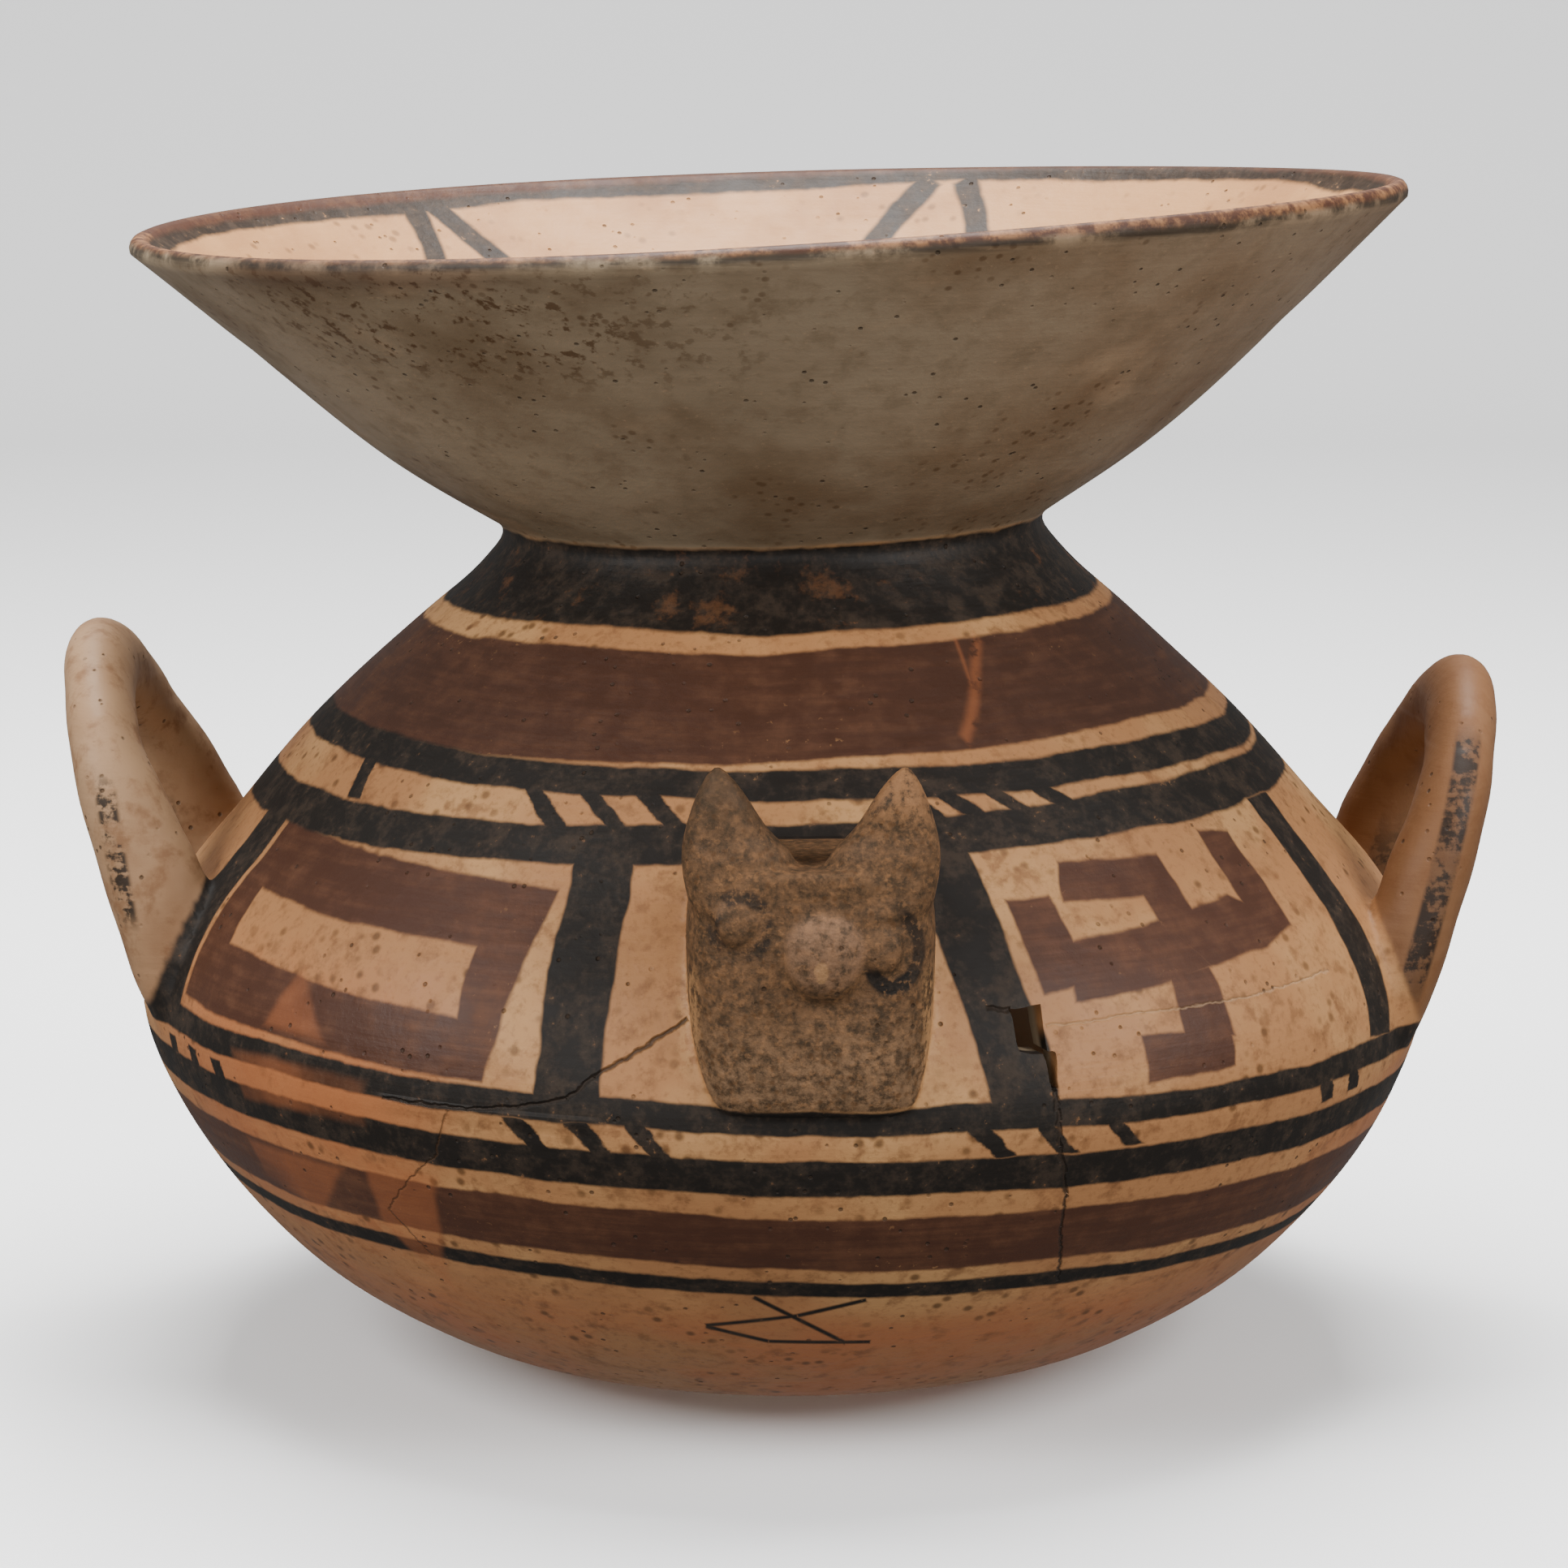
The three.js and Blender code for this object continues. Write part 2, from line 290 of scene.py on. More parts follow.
def outer_outline():
    """Radius and height from the edge of the foot to the lip."""
    jar = sizes()[0]
    belly, neck = (jar.belly_radius, jar.belly_height), (jar.neck_radius, jar.neck_height)
    body = curve_points(
        between((jar.foot_radius, 0), belly, BOWL) + between(belly, neck, SHOULDER), BODY_STEPS
    )
    lip = (jar.mouth_radius - jar.lip / 2, jar.mouth_height - jar.lip)
    funnel = curve_points(between(neck, lip, FUNNEL), FUNNEL_STEPS)
    below = body[np.linalg.norm(body - neck, axis=1) > jar.crease]
    above = funnel[np.linalg.norm(funnel - neck, axis=1) > jar.crease]
    start, end = below[-1], above[0]
    t = np.linspace(0, 1, 6)[1:-1, None]
    rounded = (1 - t) ** 2 * start + 2 * t * (1 - t) * np.array(neck) + t**2 * end
    return np.vstack([below, rounded, above])


def inset_outline(outer, share):
    jar = sizes()[0]
    along = np.gradient(outer, axis=0)
    along /= np.linalg.norm(along, axis=1)[:, None]
    rise = np.clip((outer[:, 1] - jar.neck_height) / (jar.mouth_height - jar.neck_height), 0, 1)
    wall = lerp(jar.wall, jar.lip, rise)[:, None] * share
    return outer + np.column_stack([-along[:, 1], along[:, 0]]) * wall


def raised(x, y, z):
    """How far the tilt of neck and mouth and the mouth's warp raise a place."""
    jar = sizes()[0]
    neck = smooth(z, 0.150, 0.192)
    mouth = np.clip((z - jar.neck_height) / (jar.mouth_height - jar.neck_height), 0, None) ** 2
    tilt = jar.neck_tilt * neck + (jar.mouth_tilt - jar.neck_tilt) * mouth
    return tilt * x - jar.warp * mouth * np.sin(2 * np.arctan2(y, x))


def settle(places):
    """The lean of the axis, the tilt of neck and mouth, and the mouth's warp."""
    jar = sizes()[0]
    x, y, z = places.T
    height = z + raised(x, y, z)
    return np.column_stack([x + jar.lean * height, y, height])


def one_point():
    """A new mesh of one selected point at the origin, left in edit mode, to draw an outline from."""
    clear_selection()
    bpy.ops.mesh.primitive_plane_add(size=MM)
    bpy.ops.object.mode_set(mode="EDIT")
    bpy.ops.mesh.select_mode(type="VERT")
    bpy.ops.mesh.select_all(action="SELECT")
    bpy.ops.mesh.merge(type="CENTER")


def turned(name, outline, steps):
    """A closed round shape: an outline of points is drawn by extruding one point, then spun."""
    one_point()
    before = np.zeros(2)
    for radius, height in outline[1:]:
        step = (radius - before[0], 0, height - before[1])
        bpy.ops.mesh.extrude_region_move(TRANSFORM_OT_translate={"value": step})
        before = np.array([radius, height])
    bpy.ops.mesh.select_all(action="SELECT")
    bpy.ops.mesh.spin(steps=steps, angle=2 * math.pi, center=(0, 0, 0), axis=(0, 0, 1))
    bpy.ops.mesh.select_all(action="SELECT")
    bpy.ops.mesh.remove_doubles(threshold=0.02 * MM)
    face_outwards()
    return named(name)


# Depth in mm, waves round the axis and waves a metre of height of the wall's unevenness
WAVES = ((0.35, 3, 40), (0.3, 7, -90), (0.2, 11, 150))
# Turn, distance from the axis and height of the thumb's dent, in radians and mm
DENT = (math.radians(-111), 82, 205)


def hand_built(places):
    """Slow unevenness of a wall raised by hand, strongest on the funnel and never outwards of the box."""
    x, y, z = places.T
    turn = np.arctan2(y, x)
    uneven = sum(deep * np.sin(round_axis * turn + upward * z) for deep, round_axis, upward in WAVES)
    calm = smooth(z, 0.004, 0.03)
    away = np.angle(np.exp(1j * (turn - DENT[0]))) * DENT[1]
    dent = 1.6 * np.exp(-(away**2 + (z / MM - DENT[2]) ** 2) / 42)
    ledge = 0.5 * np.exp(-(((z / MM - 228 - 2 * np.sin(2 * turn)) / 3) ** 2))
    radius = np.hypot(x, y)
    inward = (0.5 + uneven * calm * 0.55 + dent + ledge * 0.4) * MM * smooth(radius, 0.02, 0.05)
    inward *= 1 - smooth(z, 0.2535, 0.256) * 0.9
    share = 1 - inward / np.maximum(radius, 0.02)
    return np.column_stack([x * share, y * share, z])


def boolean(piece, other, operation):
    """Joins or cuts a piece with another, which is used up."""
    worked(piece, "BOOLEAN", operation=operation, solver="EXACT", object=other)
    bpy.data.objects.remove(other, do_unlink=True)
    if len(piece.data.vertices) == 0:
        raise RuntimeError(f"{piece.name} is empty after {operation.lower()}")


# The pieces of clay, in the order they are made


class JAR_OT_body(bpy.types.Operator):
    """Spins the jar's hollow wall from its outline and lets it lean, tilt and warp"""

    bl_idname = "jar.body"
    bl_label = "Body and funnel"

    def execute(self, context):
        jar = sizes()[0]
        outer = outer_outline()
        inner = inset_outline(outer, 1)[2::2]
        edge, within = outer[-1], inner[-1]
        middle, half = (edge + within) / 2, (edge - within) / 2
        turn = np.pi * np.arange(1, 7) / 7
        lip = middle + np.column_stack(
            [half[0] * np.cos(turn) - half[1] * np.sin(turn), half[0] * np.sin(turn) + half[1] * np.cos(turn)]
        )
        foot = [(0, 0), (0.3 * jar.foot_radius, 0), (0.6 * jar.foot_radius, 0), (0.85 * jar.foot_radius, 0)]
        floor = [(0.5 * jar.foot_radius, jar.wall), (0, jar.wall)]
        outline = np.vstack([foot, outer, lip, inner[::-1], floor])
        body = turned("painted_jar", outline, AROUND)
        press(body, hand_built)
        press(body, settle)
        choose_faces(body, self.near_joins)
        bpy.ops.mesh.subdivide(number_cuts=1)
        bpy.ops.object.mode_set(mode="OBJECT")
        return {"FINISHED"}

    @staticmethod
    def near_joins(places):
        """The outside where heads and handles will join, which needs finer faces."""
        head = in_box(places, (-1, sizes()[2].width / MM), (90, FAR), (70, 160))
        root = in_box(places, (80, FAR), (14, 74), (70, 140))
        return (head | root) & (np.hypot(places[:, 0], places[:, 1]) > 0.09)


def core():
    """The solid within the middle of the wall, up to the neck, at which handles and heads end."""
    jar = sizes()[0]
    outline = inset_outline(outer_outline(), 0.5)[1:]
    body = outline[outline[:, 1] < jar.neck_height][::3]
    start, end = [(0, jar.wall / 2)], [(0, body[-1][1])]
    return press(turned("core", np.vstack([start, body, end]), 96), settle)


# Side, height of the roots, rise of the loop and flare of its legs
HANDLES = ((-1, 0.084, 0.072, 1.6), (1, 0.079, 0.0685, 0.9))
# Half of the arch that a loop follows, in half spans and rises, and how far it runs on below the roots
DIP = 0.32
HALF_ARCH = [(-1, -DIP), (-1, 0), (-0.98, 0.38), (-0.74, 0.78)]


class JAR_OT_handles(bpy.types.Operator):
    """Rolls a rod of clay for each handle, bends it to a loop and joins it to the wall"""

    bl_idname = "jar.handles"
    bl_label = "Loop handles"

    def execute(self, context):
        for side, root_height, rise, flare in HANDLES:
            roll = self.roll(side)
            self.bend(roll, side, root_height, rise, flare)
            boolean(roll, core(), "DIFFERENCE")
            boolean(bpy.data.objects["painted_jar"], roll, "UNION")
        return {"FINISHED"}

    @staticmethod
    def roll(side):
        """A straight roll with rounded ends, cut into rings along its length."""
        handle = sizes()[1]
        clear_selection()
        bpy.ops.mesh.primitive_cylinder_add(vertices=40, radius=0.5, depth=1, end_fill_type="NGON")
        roll = named("handle_left" if side < 0 else "handle_right")
        bpy.ops.object.mode_set(mode="EDIT")
        ringed(84)
        bpy.ops.mesh.select_all(action="SELECT")
        bpy.ops.transform.resize(value=(handle.depth, handle.across, 1))
        bpy.ops.object.mode_set(mode="OBJECT")
        return roll

    @staticmethod
    def bend(roll, side, root_height, rise, flare):
        """Lays the roll along the arch, thicker at its legs, with its ends sunk into the wall."""
        jar, handle, _ = sizes()
        arch = [*HALF_ARCH, (0, 1), *((-u, h) for u, h in HALF_ARCH[::-1])]
        path = curve_points([(u * handle.span / 2, h * rise) for u, h in arch], 400)
        along = np.gradient(path, axis=0)
        along /= np.linalg.norm(along, axis=1)[:, None]
        radius = math.sqrt(jar.belly_radius**2 - (handle.span / 2) ** 2) - handle.root_depth
        out = np.array([side * math.cos(handle.lean), 0, -math.sin(handle.lean)])
        up = np.array([side * math.sin(handle.lean), 0, math.cos(handle.lean)])
        across = np.cross(up, out)
        start = np.array([side * radius + jar.lean * root_height, 0, root_height])

        def place(points):
            at = (points[:, 2] + 0.5) * (len(path) - 1)
            steps = np.arange(len(path))
            u = np.interp(at, steps, path[:, 0]) - np.interp(at, steps, along[:, 1]) * points[:, 0]
            h = np.interp(at, steps, path[:, 1]) + np.interp(at, steps, along[:, 0]) * points[:, 0]
            wobble = 1 + 0.02 * np.sin(at / 14) + 0.015 * np.sin(at / 5.3 + side)
            w = points[:, 1] * wobble * 0.98
            low = np.clip(1 - h / (0.8 * rise), 0, None)
            w = np.where(w < 0, w * (1 + flare * low), w)
            sunk = np.clip(0.1 - h / rise, 0, None) / (0.1 + DIP)
            w = w - handle.root_sink * sunk**1.5
            return start + np.outer(u, across) + np.outer(h, up) + np.outer(w, out)

        press(roll, place)
        take(roll)
        bpy.ops.object.mode_set(mode="EDIT")
        face_outwards()


def levelled(name, sides, levels, squareness, section):
    """A closed block made of level sections, whose half sizes, middle and height section gives."""
    clear_selection()
    bpy.ops.mesh.primitive_cylinder_add(vertices=sides, radius=1, depth=1, end_fill_type="TRIFAN")
    block = named(name)
    bpy.ops.object.mode_set(mode="EDIT")
    ringed(levels)
    bpy.ops.object.mode_set(mode="OBJECT")

    def place(points):
        width, depth, x, y, height = section(np.clip(points[:, 2] + 0.5, 0, 1))
        bulge = lambda share: np.sign(share) * np.abs(share) ** (2 / squareness)
        return np.column_stack([x + width * bulge(points[:, 0]), y + depth * bulge(points[:, 1]), height])

    return press(block, place)


# Sideways place of the heads, in metres, and the side and height of their eyes
HEAD_PLACE = np.array([0.004, 0, 0])
EYES = ((-1, 0.1235), (1, 0.118))


class JAR_OT_heads(bpy.types.Operator):
    """Models the animal head with its ears, nose and eyes, and joins one to the front and one to the back"""

    bl_idname = "jar.heads"
    bl_label = "Animal heads"

    def execute(self, context):
        for turn in (0, math.pi):
            head = self.block()
            lumps = [self.ear(-1), self.ear(1), self.nose(), *(self.eye(*eye) for eye in EYES)]
            take(head)
            for lump in lumps:
                lump.select_set(True)
            bpy.ops.object.join()
            self.soften(head)
            take(head)
            press(head, lambda p: p + HEAD_PLACE)
            if turn:
                press(head, lambda p: p * np.array([-1, -1, 1]))
            boolean(head, core(), "DIFFERENCE")
            boolean(bpy.data.objects["painted_jar"], head, "UNION")
        return {"FINISHED"}

    @staticmethod
    def block():
        jar, _, head = sizes()

        def section(share):
            up = np.sin(share * math.pi / 2)
            closing = np.sqrt(np.clip(1 - up**12, 0, None))
            front = jar.belly_radius + head.reach * up**0.3
            width = lerp(head.bottom_width, head.width, np.sin(up * math.pi / 2)) / 2
            width = width * lerp(0.4, 1, closing)
            return width, head.depth / 2, 0, head.depth / 2 - front, lerp(head.bottom, head.top, up)

        return levelled("head", 96, 44, 4.2, section)

    @staticmethod
    def ear(side):
        jar, _, head = sizes()

        def section(share):
            up = np.sin(share * math.pi / 2)
            x = side * lerp(0.023, 0.037, np.sqrt(up)) / 2
            y = 0.0095 - jar.belly_radius - head.reach
            height = lerp(head.ear_root, head.ear_top, up)
            drawn_in = lerp(0.8, 1, smooth(share, 0, 0.35))
            saddle = 0.0013 * np.exp(-(((up - 0.38) / 0.13) ** 2))
            width = 0.014 * drawn_in * (1 - up) ** 0.65 + saddle
            return width, 0.0095 * (1 - up) ** 0.52, x - side * saddle, y, height

        return levelled("ear", 48, 28, 2, section)

    @staticmethod
    def nose():
        jar, _, head = sizes()
        out = jar.belly_radius + head.reach + 0.0044 - head.nose_radius * 0.7
        return pellet("nose", head.nose_radius, (0.0025, -out, 0.117), (1, 0.62, 1.14), 48, 28)

    @staticmethod
    def eye(side, height):
        jar, _, head = sizes()
        place = (-0.0005 + side * 0.0145, -jar.belly_radius - head.reach + 0.0006, height)
        return pellet("eye", head.eye_radius, place, (1, 0.28, 1), 32, 16)

    @staticmethod
    def soften(head):
        """Makes one even skin of the joined lumps and presses their creases together, as a thumb would."""
        worked(head, "REMESH", mode="VOXEL", voxel_size=0.9 * MM)
        worked(head, "SMOOTH", factor=0.5, iterations=5)


# Corners of the chip and its slit, sideways and up from the chip's middle, in mm
HOLE = [(-3.6, 3.9), (3.4, 4.3), (3.1, -4.4), (4.9, -5), (4.6, -11.5), (3.2, -11.9), (2, -4.9), (-3, -4)]


class JAR_OT_hole(bpy.types.Operator):
    """Breaks the chip and the slit out of the wall, right of the front head"""

    bl_idname = "jar.hole"
    bl_label = "Lost chip"

    def execute(self, context):
        jar = sizes()[0]
        one_point()
        bpy.ops.transform.translate(value=(HOLE[0][0] * MM, 0, HOLE[0][1] * MM))
        for start, end in zip(HOLE, HOLE[1:] + HOLE[:1]):
            for step in range(4):
                rough = 0.22 * math.sin(9.1 * start[0] + 5.3 * step) if step < 3 else 0
                last = 0.22 * math.sin(9.1 * start[0] + 5.3 * (step - 1)) if step else 0
                across, up = (((b - a) / 4 + rough - last) * MM for a, b in zip(start, end))
                bpy.ops.mesh.extrude_region_move(TRANSFORM_OT_translate={"value": (across, 0, up)})
        bpy.ops.mesh.select_all(action="SELECT")
        bpy.ops.mesh.remove_doubles(threshold=0.05 * MM)
        bpy.ops.mesh.select_all(action="SELECT")
        bpy.ops.mesh.edge_face_add()
        bpy.ops.transform.translate(value=(0, -jar.belly_radius - 3 * jar.wall, 0.098))
        bpy.ops.mesh.extrude_region_move(TRANSFORM_OT_translate={"value": (0, 6 * jar.wall, 0)})
        face_outwards()
        chip = named("chip")
        turn = math.radians(20.3)
        cosine, sine = math.cos(turn), math.sin(turn)
        spin = np.array([[cosine, -sine, 0], [sine, cosine, 0], [0, 0, 1]])
        press(chip, lambda p: p @ spin.T)
        boolean(bpy.data.objects["painted_jar"], chip, "DIFFERENCE")
        return {"FINISHED"}


def wall_share(places):
    """How deep each place lies in the wall, the radius of the wall's outside at its height, and its own.

    The depth is 0 on the outside, 1 on the inside and below 0 on what is joined to the wall.
    """
    jar = sizes()[0]
    outer = outer_outline()
    inner = inset_outline(outer, 1)
    inner = inner[np.argsort(inner[:, 1])]
    x, y, z = places.T
    x = x - jar.lean * z
    height = z - raised(x, y, z)
    radius = np.hypot(x, y)
    rows = np.linspace(0, jar.mouth_height, 512)
    lines = (np.interp(rows, line[:, 1], line[:, 0]) for line in (outer, inner))
    edge, back = (np.interp(height, rows, line) for line in lines)
    share = (edge - radius) / np.maximum(edge - back, 0.002)
    underside = (height < jar.wall) & (z <= 0.7 * jar.wall)
    return np.where(underside, 0, share), edge, radius


class JAR_OT_finish(bpy.types.Operator):
    """Softens the joins, marks inside, heads and handles for the paint, and puts the jar in the frame"""

    bl_idname = "jar.finish"
    bl_label = "Joins and zones"

    def execute(self, context):
        jar = bpy.data.objects["painted_jar"]
        take(jar)
        bpy.ops.object.mode_set(mode="EDIT")
        bpy.ops.mesh.select_all(action="SELECT")
        bpy.ops.mesh.remove_doubles(threshold=0.05 * MM)
        bpy.ops.mesh.select_all(action="DESELECT")
        bpy.ops.object.mode_set(mode="OBJECT")
        self.soften_joins(jar)
        self.mark(jar)
        bpy.ops.object.shade_smooth()
        bpy.ops.object.shade_smooth_by_angle(angle=math.radians(55))
        jar.data.materials.clear()
        for name, mouth in (("painted_clay", False), ("painted_funnel", True)):
            jar.data.materials.append(JarPaint(name, mouth).material())
        self.give_finishes(jar)
        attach(jar, "root")
        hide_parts("olla")
        return {"FINISHED"}

    @staticmethod
    def soften_joins(jar):
        """Only points near a join move: those just outside the wall's own skin and their neighbours."""
        places = corners(jar)
        share, edge, radius = wall_share(places)
        stands = (radius - edge) / MM
        near = np.exp(-(((stands - 0.6) / 2.2) ** 2))
        at_head = in_box(places, (-1, 36), (80, FAR), (72, 150))
        at_root = in_box(places, (80, FAR), (20, 68), (70, 140))
        wide = np.exp(-(((stands - 2) / 4) ** 2))
        for weight, passes in ((wide * at_root, 24), (near * (at_head | at_root), 9)):
            weight = weight * (stands > -2.6)
            group = jar.vertex_groups.new(name="joins")
            for index in np.nonzero(weight > 0.05)[0]:
                group.add([int(index)], float(weight[index]), "REPLACE")
            worked(jar, "SMOOTH", factor=0.5, iterations=passes, vertex_group=group.name)
            jar.vertex_groups.clear()

    @staticmethod
    def give_finishes(jar):
        """The funnel and the inside get the mouth's finish, clear of the neck's line and of the hole."""
        places = middles(jar)
        share, edge, radius = wall_share(places)
        above = places[:, 2] > 0.1905 + sizes()[0].neck_tilt * places[:, 0]
        within = (share > 0.85) & (radius < edge - 0.004)
        jar.data.polygons.foreach_set("material_index", (above | within).astype(np.int32))

    @staticmethod
    def mark(jar):
        """Keeps on the mesh how far each point belongs to the inside, a head or a handle."""
        places = corners(jar)
        share, edge, radius = wall_share(places)
        stands = (radius - edge) / MM
        head = in_box(places, (-1, 36), (75, FAR), (75, 157))
        loop = in_box(places, (85, FAR), (-1, 64), (60, 175))
        zones = {
            "inside": np.clip((share - 0.45) * 6, 0, 1) * (stands < 0),
            "head": smooth(stands, 0.2, 1.0) * head,
            "handle": smooth(stands, 0.4, 4.5) * loop,
        }
        for zone, values in zones.items():
            layer = jar.data.attributes.new(zone, "FLOAT", "POINT")
            layer.data.foreach_set("value", values.astype(np.float32))


# The paint's node trees


class Tone:
    """A value in the paint's node tree. Sums on tones add their own Math nodes."""

    def __init__(self, palette, socket):
        self.palette, self.socket = palette, socket

    def _math(self, operation, *values):
        return self.palette.node("ShaderNodeMath", {"operation": operation}, values)

    def __add__(self, other):
        return self._math("ADD", self, other)

    __radd__ = __add__

    def __sub__(self, other):
        return self._math("SUBTRACT", self, other)

    def __rsub__(self, other):
        return self._math("SUBTRACT", other, self)

    def __mul__(self, other):
        return self._math("MULTIPLY", self, other)

    __rmul__ = __mul__

    def __truediv__(self, other):
        return self._math("DIVIDE", self, other)

    def size(self):
        return self._math("ABSOLUTE", self)

    def top(self, other):
        return self._math("MAXIMUM", self, other)

    def least(self, other):
        return self._math("MINIMUM", self, other)

    def ramp(self, low, high, start=0, end=1):
        """Smoothly from start at low to end at high."""
        ends = (self, low, high, start, end) if low < high else (self, high, low, end, start)
        settings = {"interpolation_type": "SMOOTHSTEP", "clamp": False}
        return self.palette.node("ShaderNodeMapRange", settings, ends)


class Palette:
    """The node tree of one material and the ways to add to it."""

    def __init__(self, name):
        self.material = bpy.data.materials.new(name)
        self.material.use_nodes = True
        self.tree = self.material.node_tree
        self.shader = self.tree.nodes["Principled BSDF"]

    def node(self, kind, settings, values, out=0):
        """Adds a node, sets its settings and then its inputs, by order or by name."""
        added = self.tree.nodes.new(kind)
        for key, value in settings.items():
            setattr(added, key, value)
        pairs = values.items() if isinstance(values, dict) else enumerate(values)
        for key, value in pairs:
            self.put(added.inputs[key], value)
        return Tone(self, added.outputs[out])

    def put(self, socket, value):
        if isinstance(value, Tone):
            self.tree.links.new(value.socket, socket)
        elif value is not None:
            socket.default_value = value

    def mix(self, share, under, over):
        """One colour over another by a share."""
        added = self.tree.nodes.new("ShaderNodeMix")
        added.data_type = "RGBA"
        self.put(added.inputs["Factor"], share)
        for name, value in (("A", under), ("B", over)):
            socket = [s for s in added.inputs if s.name == name and s.type == "RGBA"][0]
            self.put(socket, value if isinstance(value, Tone) else (*value, 1))
        return Tone(self, [s for s in added.outputs if s.type == "RGBA"][0])

    def vector(self, x, y, z):
        return self.node("ShaderNodeCombineXYZ", {}, [x, y, z])

    def axes(self, place):
        """The three lengths of a place."""
        parts = self.node("ShaderNodeSeparateXYZ", {}, [place]).socket.node.outputs
        return [Tone(self, part) for part in parts]

    def root(self, value):
        return self.node("ShaderNodeMath", {"operation": "SQRT"}, [value])

    def grain(self, place, scale, detail, rough=0.55):
        """Noise around 0.5, with its scale in spots a metre."""
        values = {"Vector": place, "Scale": scale, "Detail": detail, "Roughness": rough}
        return self.node("ShaderNodeTexNoise", {}, values)

    def spots(self, place, scale):
        """Distance from the nearest of scattered dots, with its scale in dots a metre."""
        return self.node("ShaderNodeTexVoronoi", {}, {"Vector": place, "Scale": scale})

    def finish(self, name, value):
        self.put(self.shader.inputs[name], value)

    def clear_unused(self):
        """Removes the nodes that lead to nothing."""
        used, waiting = set(), [self.tree.nodes["Material Output"]]
        while waiting:
            node = waiting.pop()
            if node.name not in used:
                used.add(node.name)
                waiting.extend(link.from_node for socket in node.inputs for link in socket.links)
        for node in list(self.tree.nodes):
            if node.name not in used:
                self.tree.nodes.remove(node)


# Millimetres that one degree round the belly measures
DEGREE = 2.4

# Places on the jar are [turn in degrees, height in mm], with turn 0 at the front head
RING_PANEL = [(-63.9, 127.1), (-21.9, 123.0), (-24.8, 87.0), (-64.3, 90.2)]
RING_WINDOW = [(-59.7, 114.0), (-28.0, 111.6), (-27.9, 98.3), (-58.9, 103.0)]
KEY_PANEL = [
    [(29.3, 126.6), (42.0, 126.0), (39.6, 119.0), (27.8, 119.3)],
    [(37.4, 125.0), (42.0, 126.0), (43.0, 113.6), (38.1, 113.6)],
    [(49.6, 128.9), (54.7, 127.5), (54.2, 108.8), (49.3, 106.5)],
    [(38.1, 114.6), (48.2, 116.8), (53.6, 110.5), (49.4, 106.2), (41.3, 105.2)],
    [(27.0, 112.3), (38.4, 115.0), (41.6, 105.2), (35.6, 103.9), (25.3, 101.6)],
    [(22.0, 120.6), (26.6, 120.7), (28.2, 105.0), (23.2, 103.9)],
    [(35.7, 105.1), (41.1, 105.5), (41.2, 92.3), (35.6, 92.3)],
    [(31.3, 94.9), (41.0, 93.9), (40.4, 86.1), (31.1, 85.4)],
]
BARS = [
    [(-71.5, 131.5), (-65.0, 131.0), (-65.0, 82.9), (-70.9, 82.9)],
    [(-21.0, 129.4), (-14.9, 129.9), (-14.6, 82.2), (-20.4, 82.3)],
    [(12.6, 131.9), (19.9, 130.9), (23.2, 80.9), (17.3, 80.1)],
    [(62.5, 131.4), (68.4, 131.4), (66.0, 81.5), (60.8, 82.6)],
    [(157.6, 131.4), (163.4, 131.4), (162.2, 82.0), (156.6, 82.0)],
    [(-163.4, 131.4), (-157.6, 131.4), (-156.6, 82.0), (-162.2, 82.0)],
]
# Low edge, high edge and tilt of the bands that run round the jar
BROWN_BANDS = [(147.2, 166.7, 2.1), (48.2, 60.8, -3.9)]
BLACK_LINES = [
    (140.2, 145.8, -0.4),
    (128.5, 135.8, 3.0),
    (79.2, 84.9, -3.2),
    (66.0, 73.8, -3.7),
    (41.3, 45.0, -3.9),
]
# Top, bottom and width of a row of slanted ticks, then the turn and slant of each
TICK_ROWS = [
    (
        (141.5, 133.8, 2.8),
        [(-57.5, 2.0), (-30.5, 5.2), (-23.5, 5.2), (-16.8, 5.2)]
        + [(12.4, 5.4), (17.0, 5.6), (22.8, 5.8), (28.6, 5.8)],
    ),
    (
        (80.5, 72.5, 1.9),
        [(-67.4, 1.0), (-62.4, 1.0), (-57.8, 1.0), (-23.1, 2.7), (-17.7, 2.7), (-12.9, 2.7)]
        + [(14.1, 3.0), (19.7, 3.0), (25.9, 3.0), (51.5, 1.2), (56.0, 1.2)],
    ),
]
# Both ends and the width of each stroke
SIGN_STROKES = [
    ((-3.1, 41.0), (6.1, 27.5), 1.1),
    ((7.5, 40.0), (1.0, 35.9), 1.1),
    ((1.0, 35.9), (-8.2, 32.7), 1.0),
    ((-8.2, 32.4), (-2.0, 28.4), 1.1),
    ((-2.0, 28.4), (8.7, 27.6), 1.0),
]
ORANGE_SHERDS = [
    [(-46.3, 102.8), (-41.6, 90.0), (-49.2, 90.4)],
    [(-54.1, 83.8), (-36.5, 84.2), (-37.0, 74.5), (-53.0, 73.6)],
    [(-55.8, 63.0), (-41.5, 62.5), (-47.6, 49.9), (-55.7, 53.5)],
    [(-38.2, 65.8), (-30.4, 65.0), (-35.6, 34.7), (-39.3, 51.8)],
]
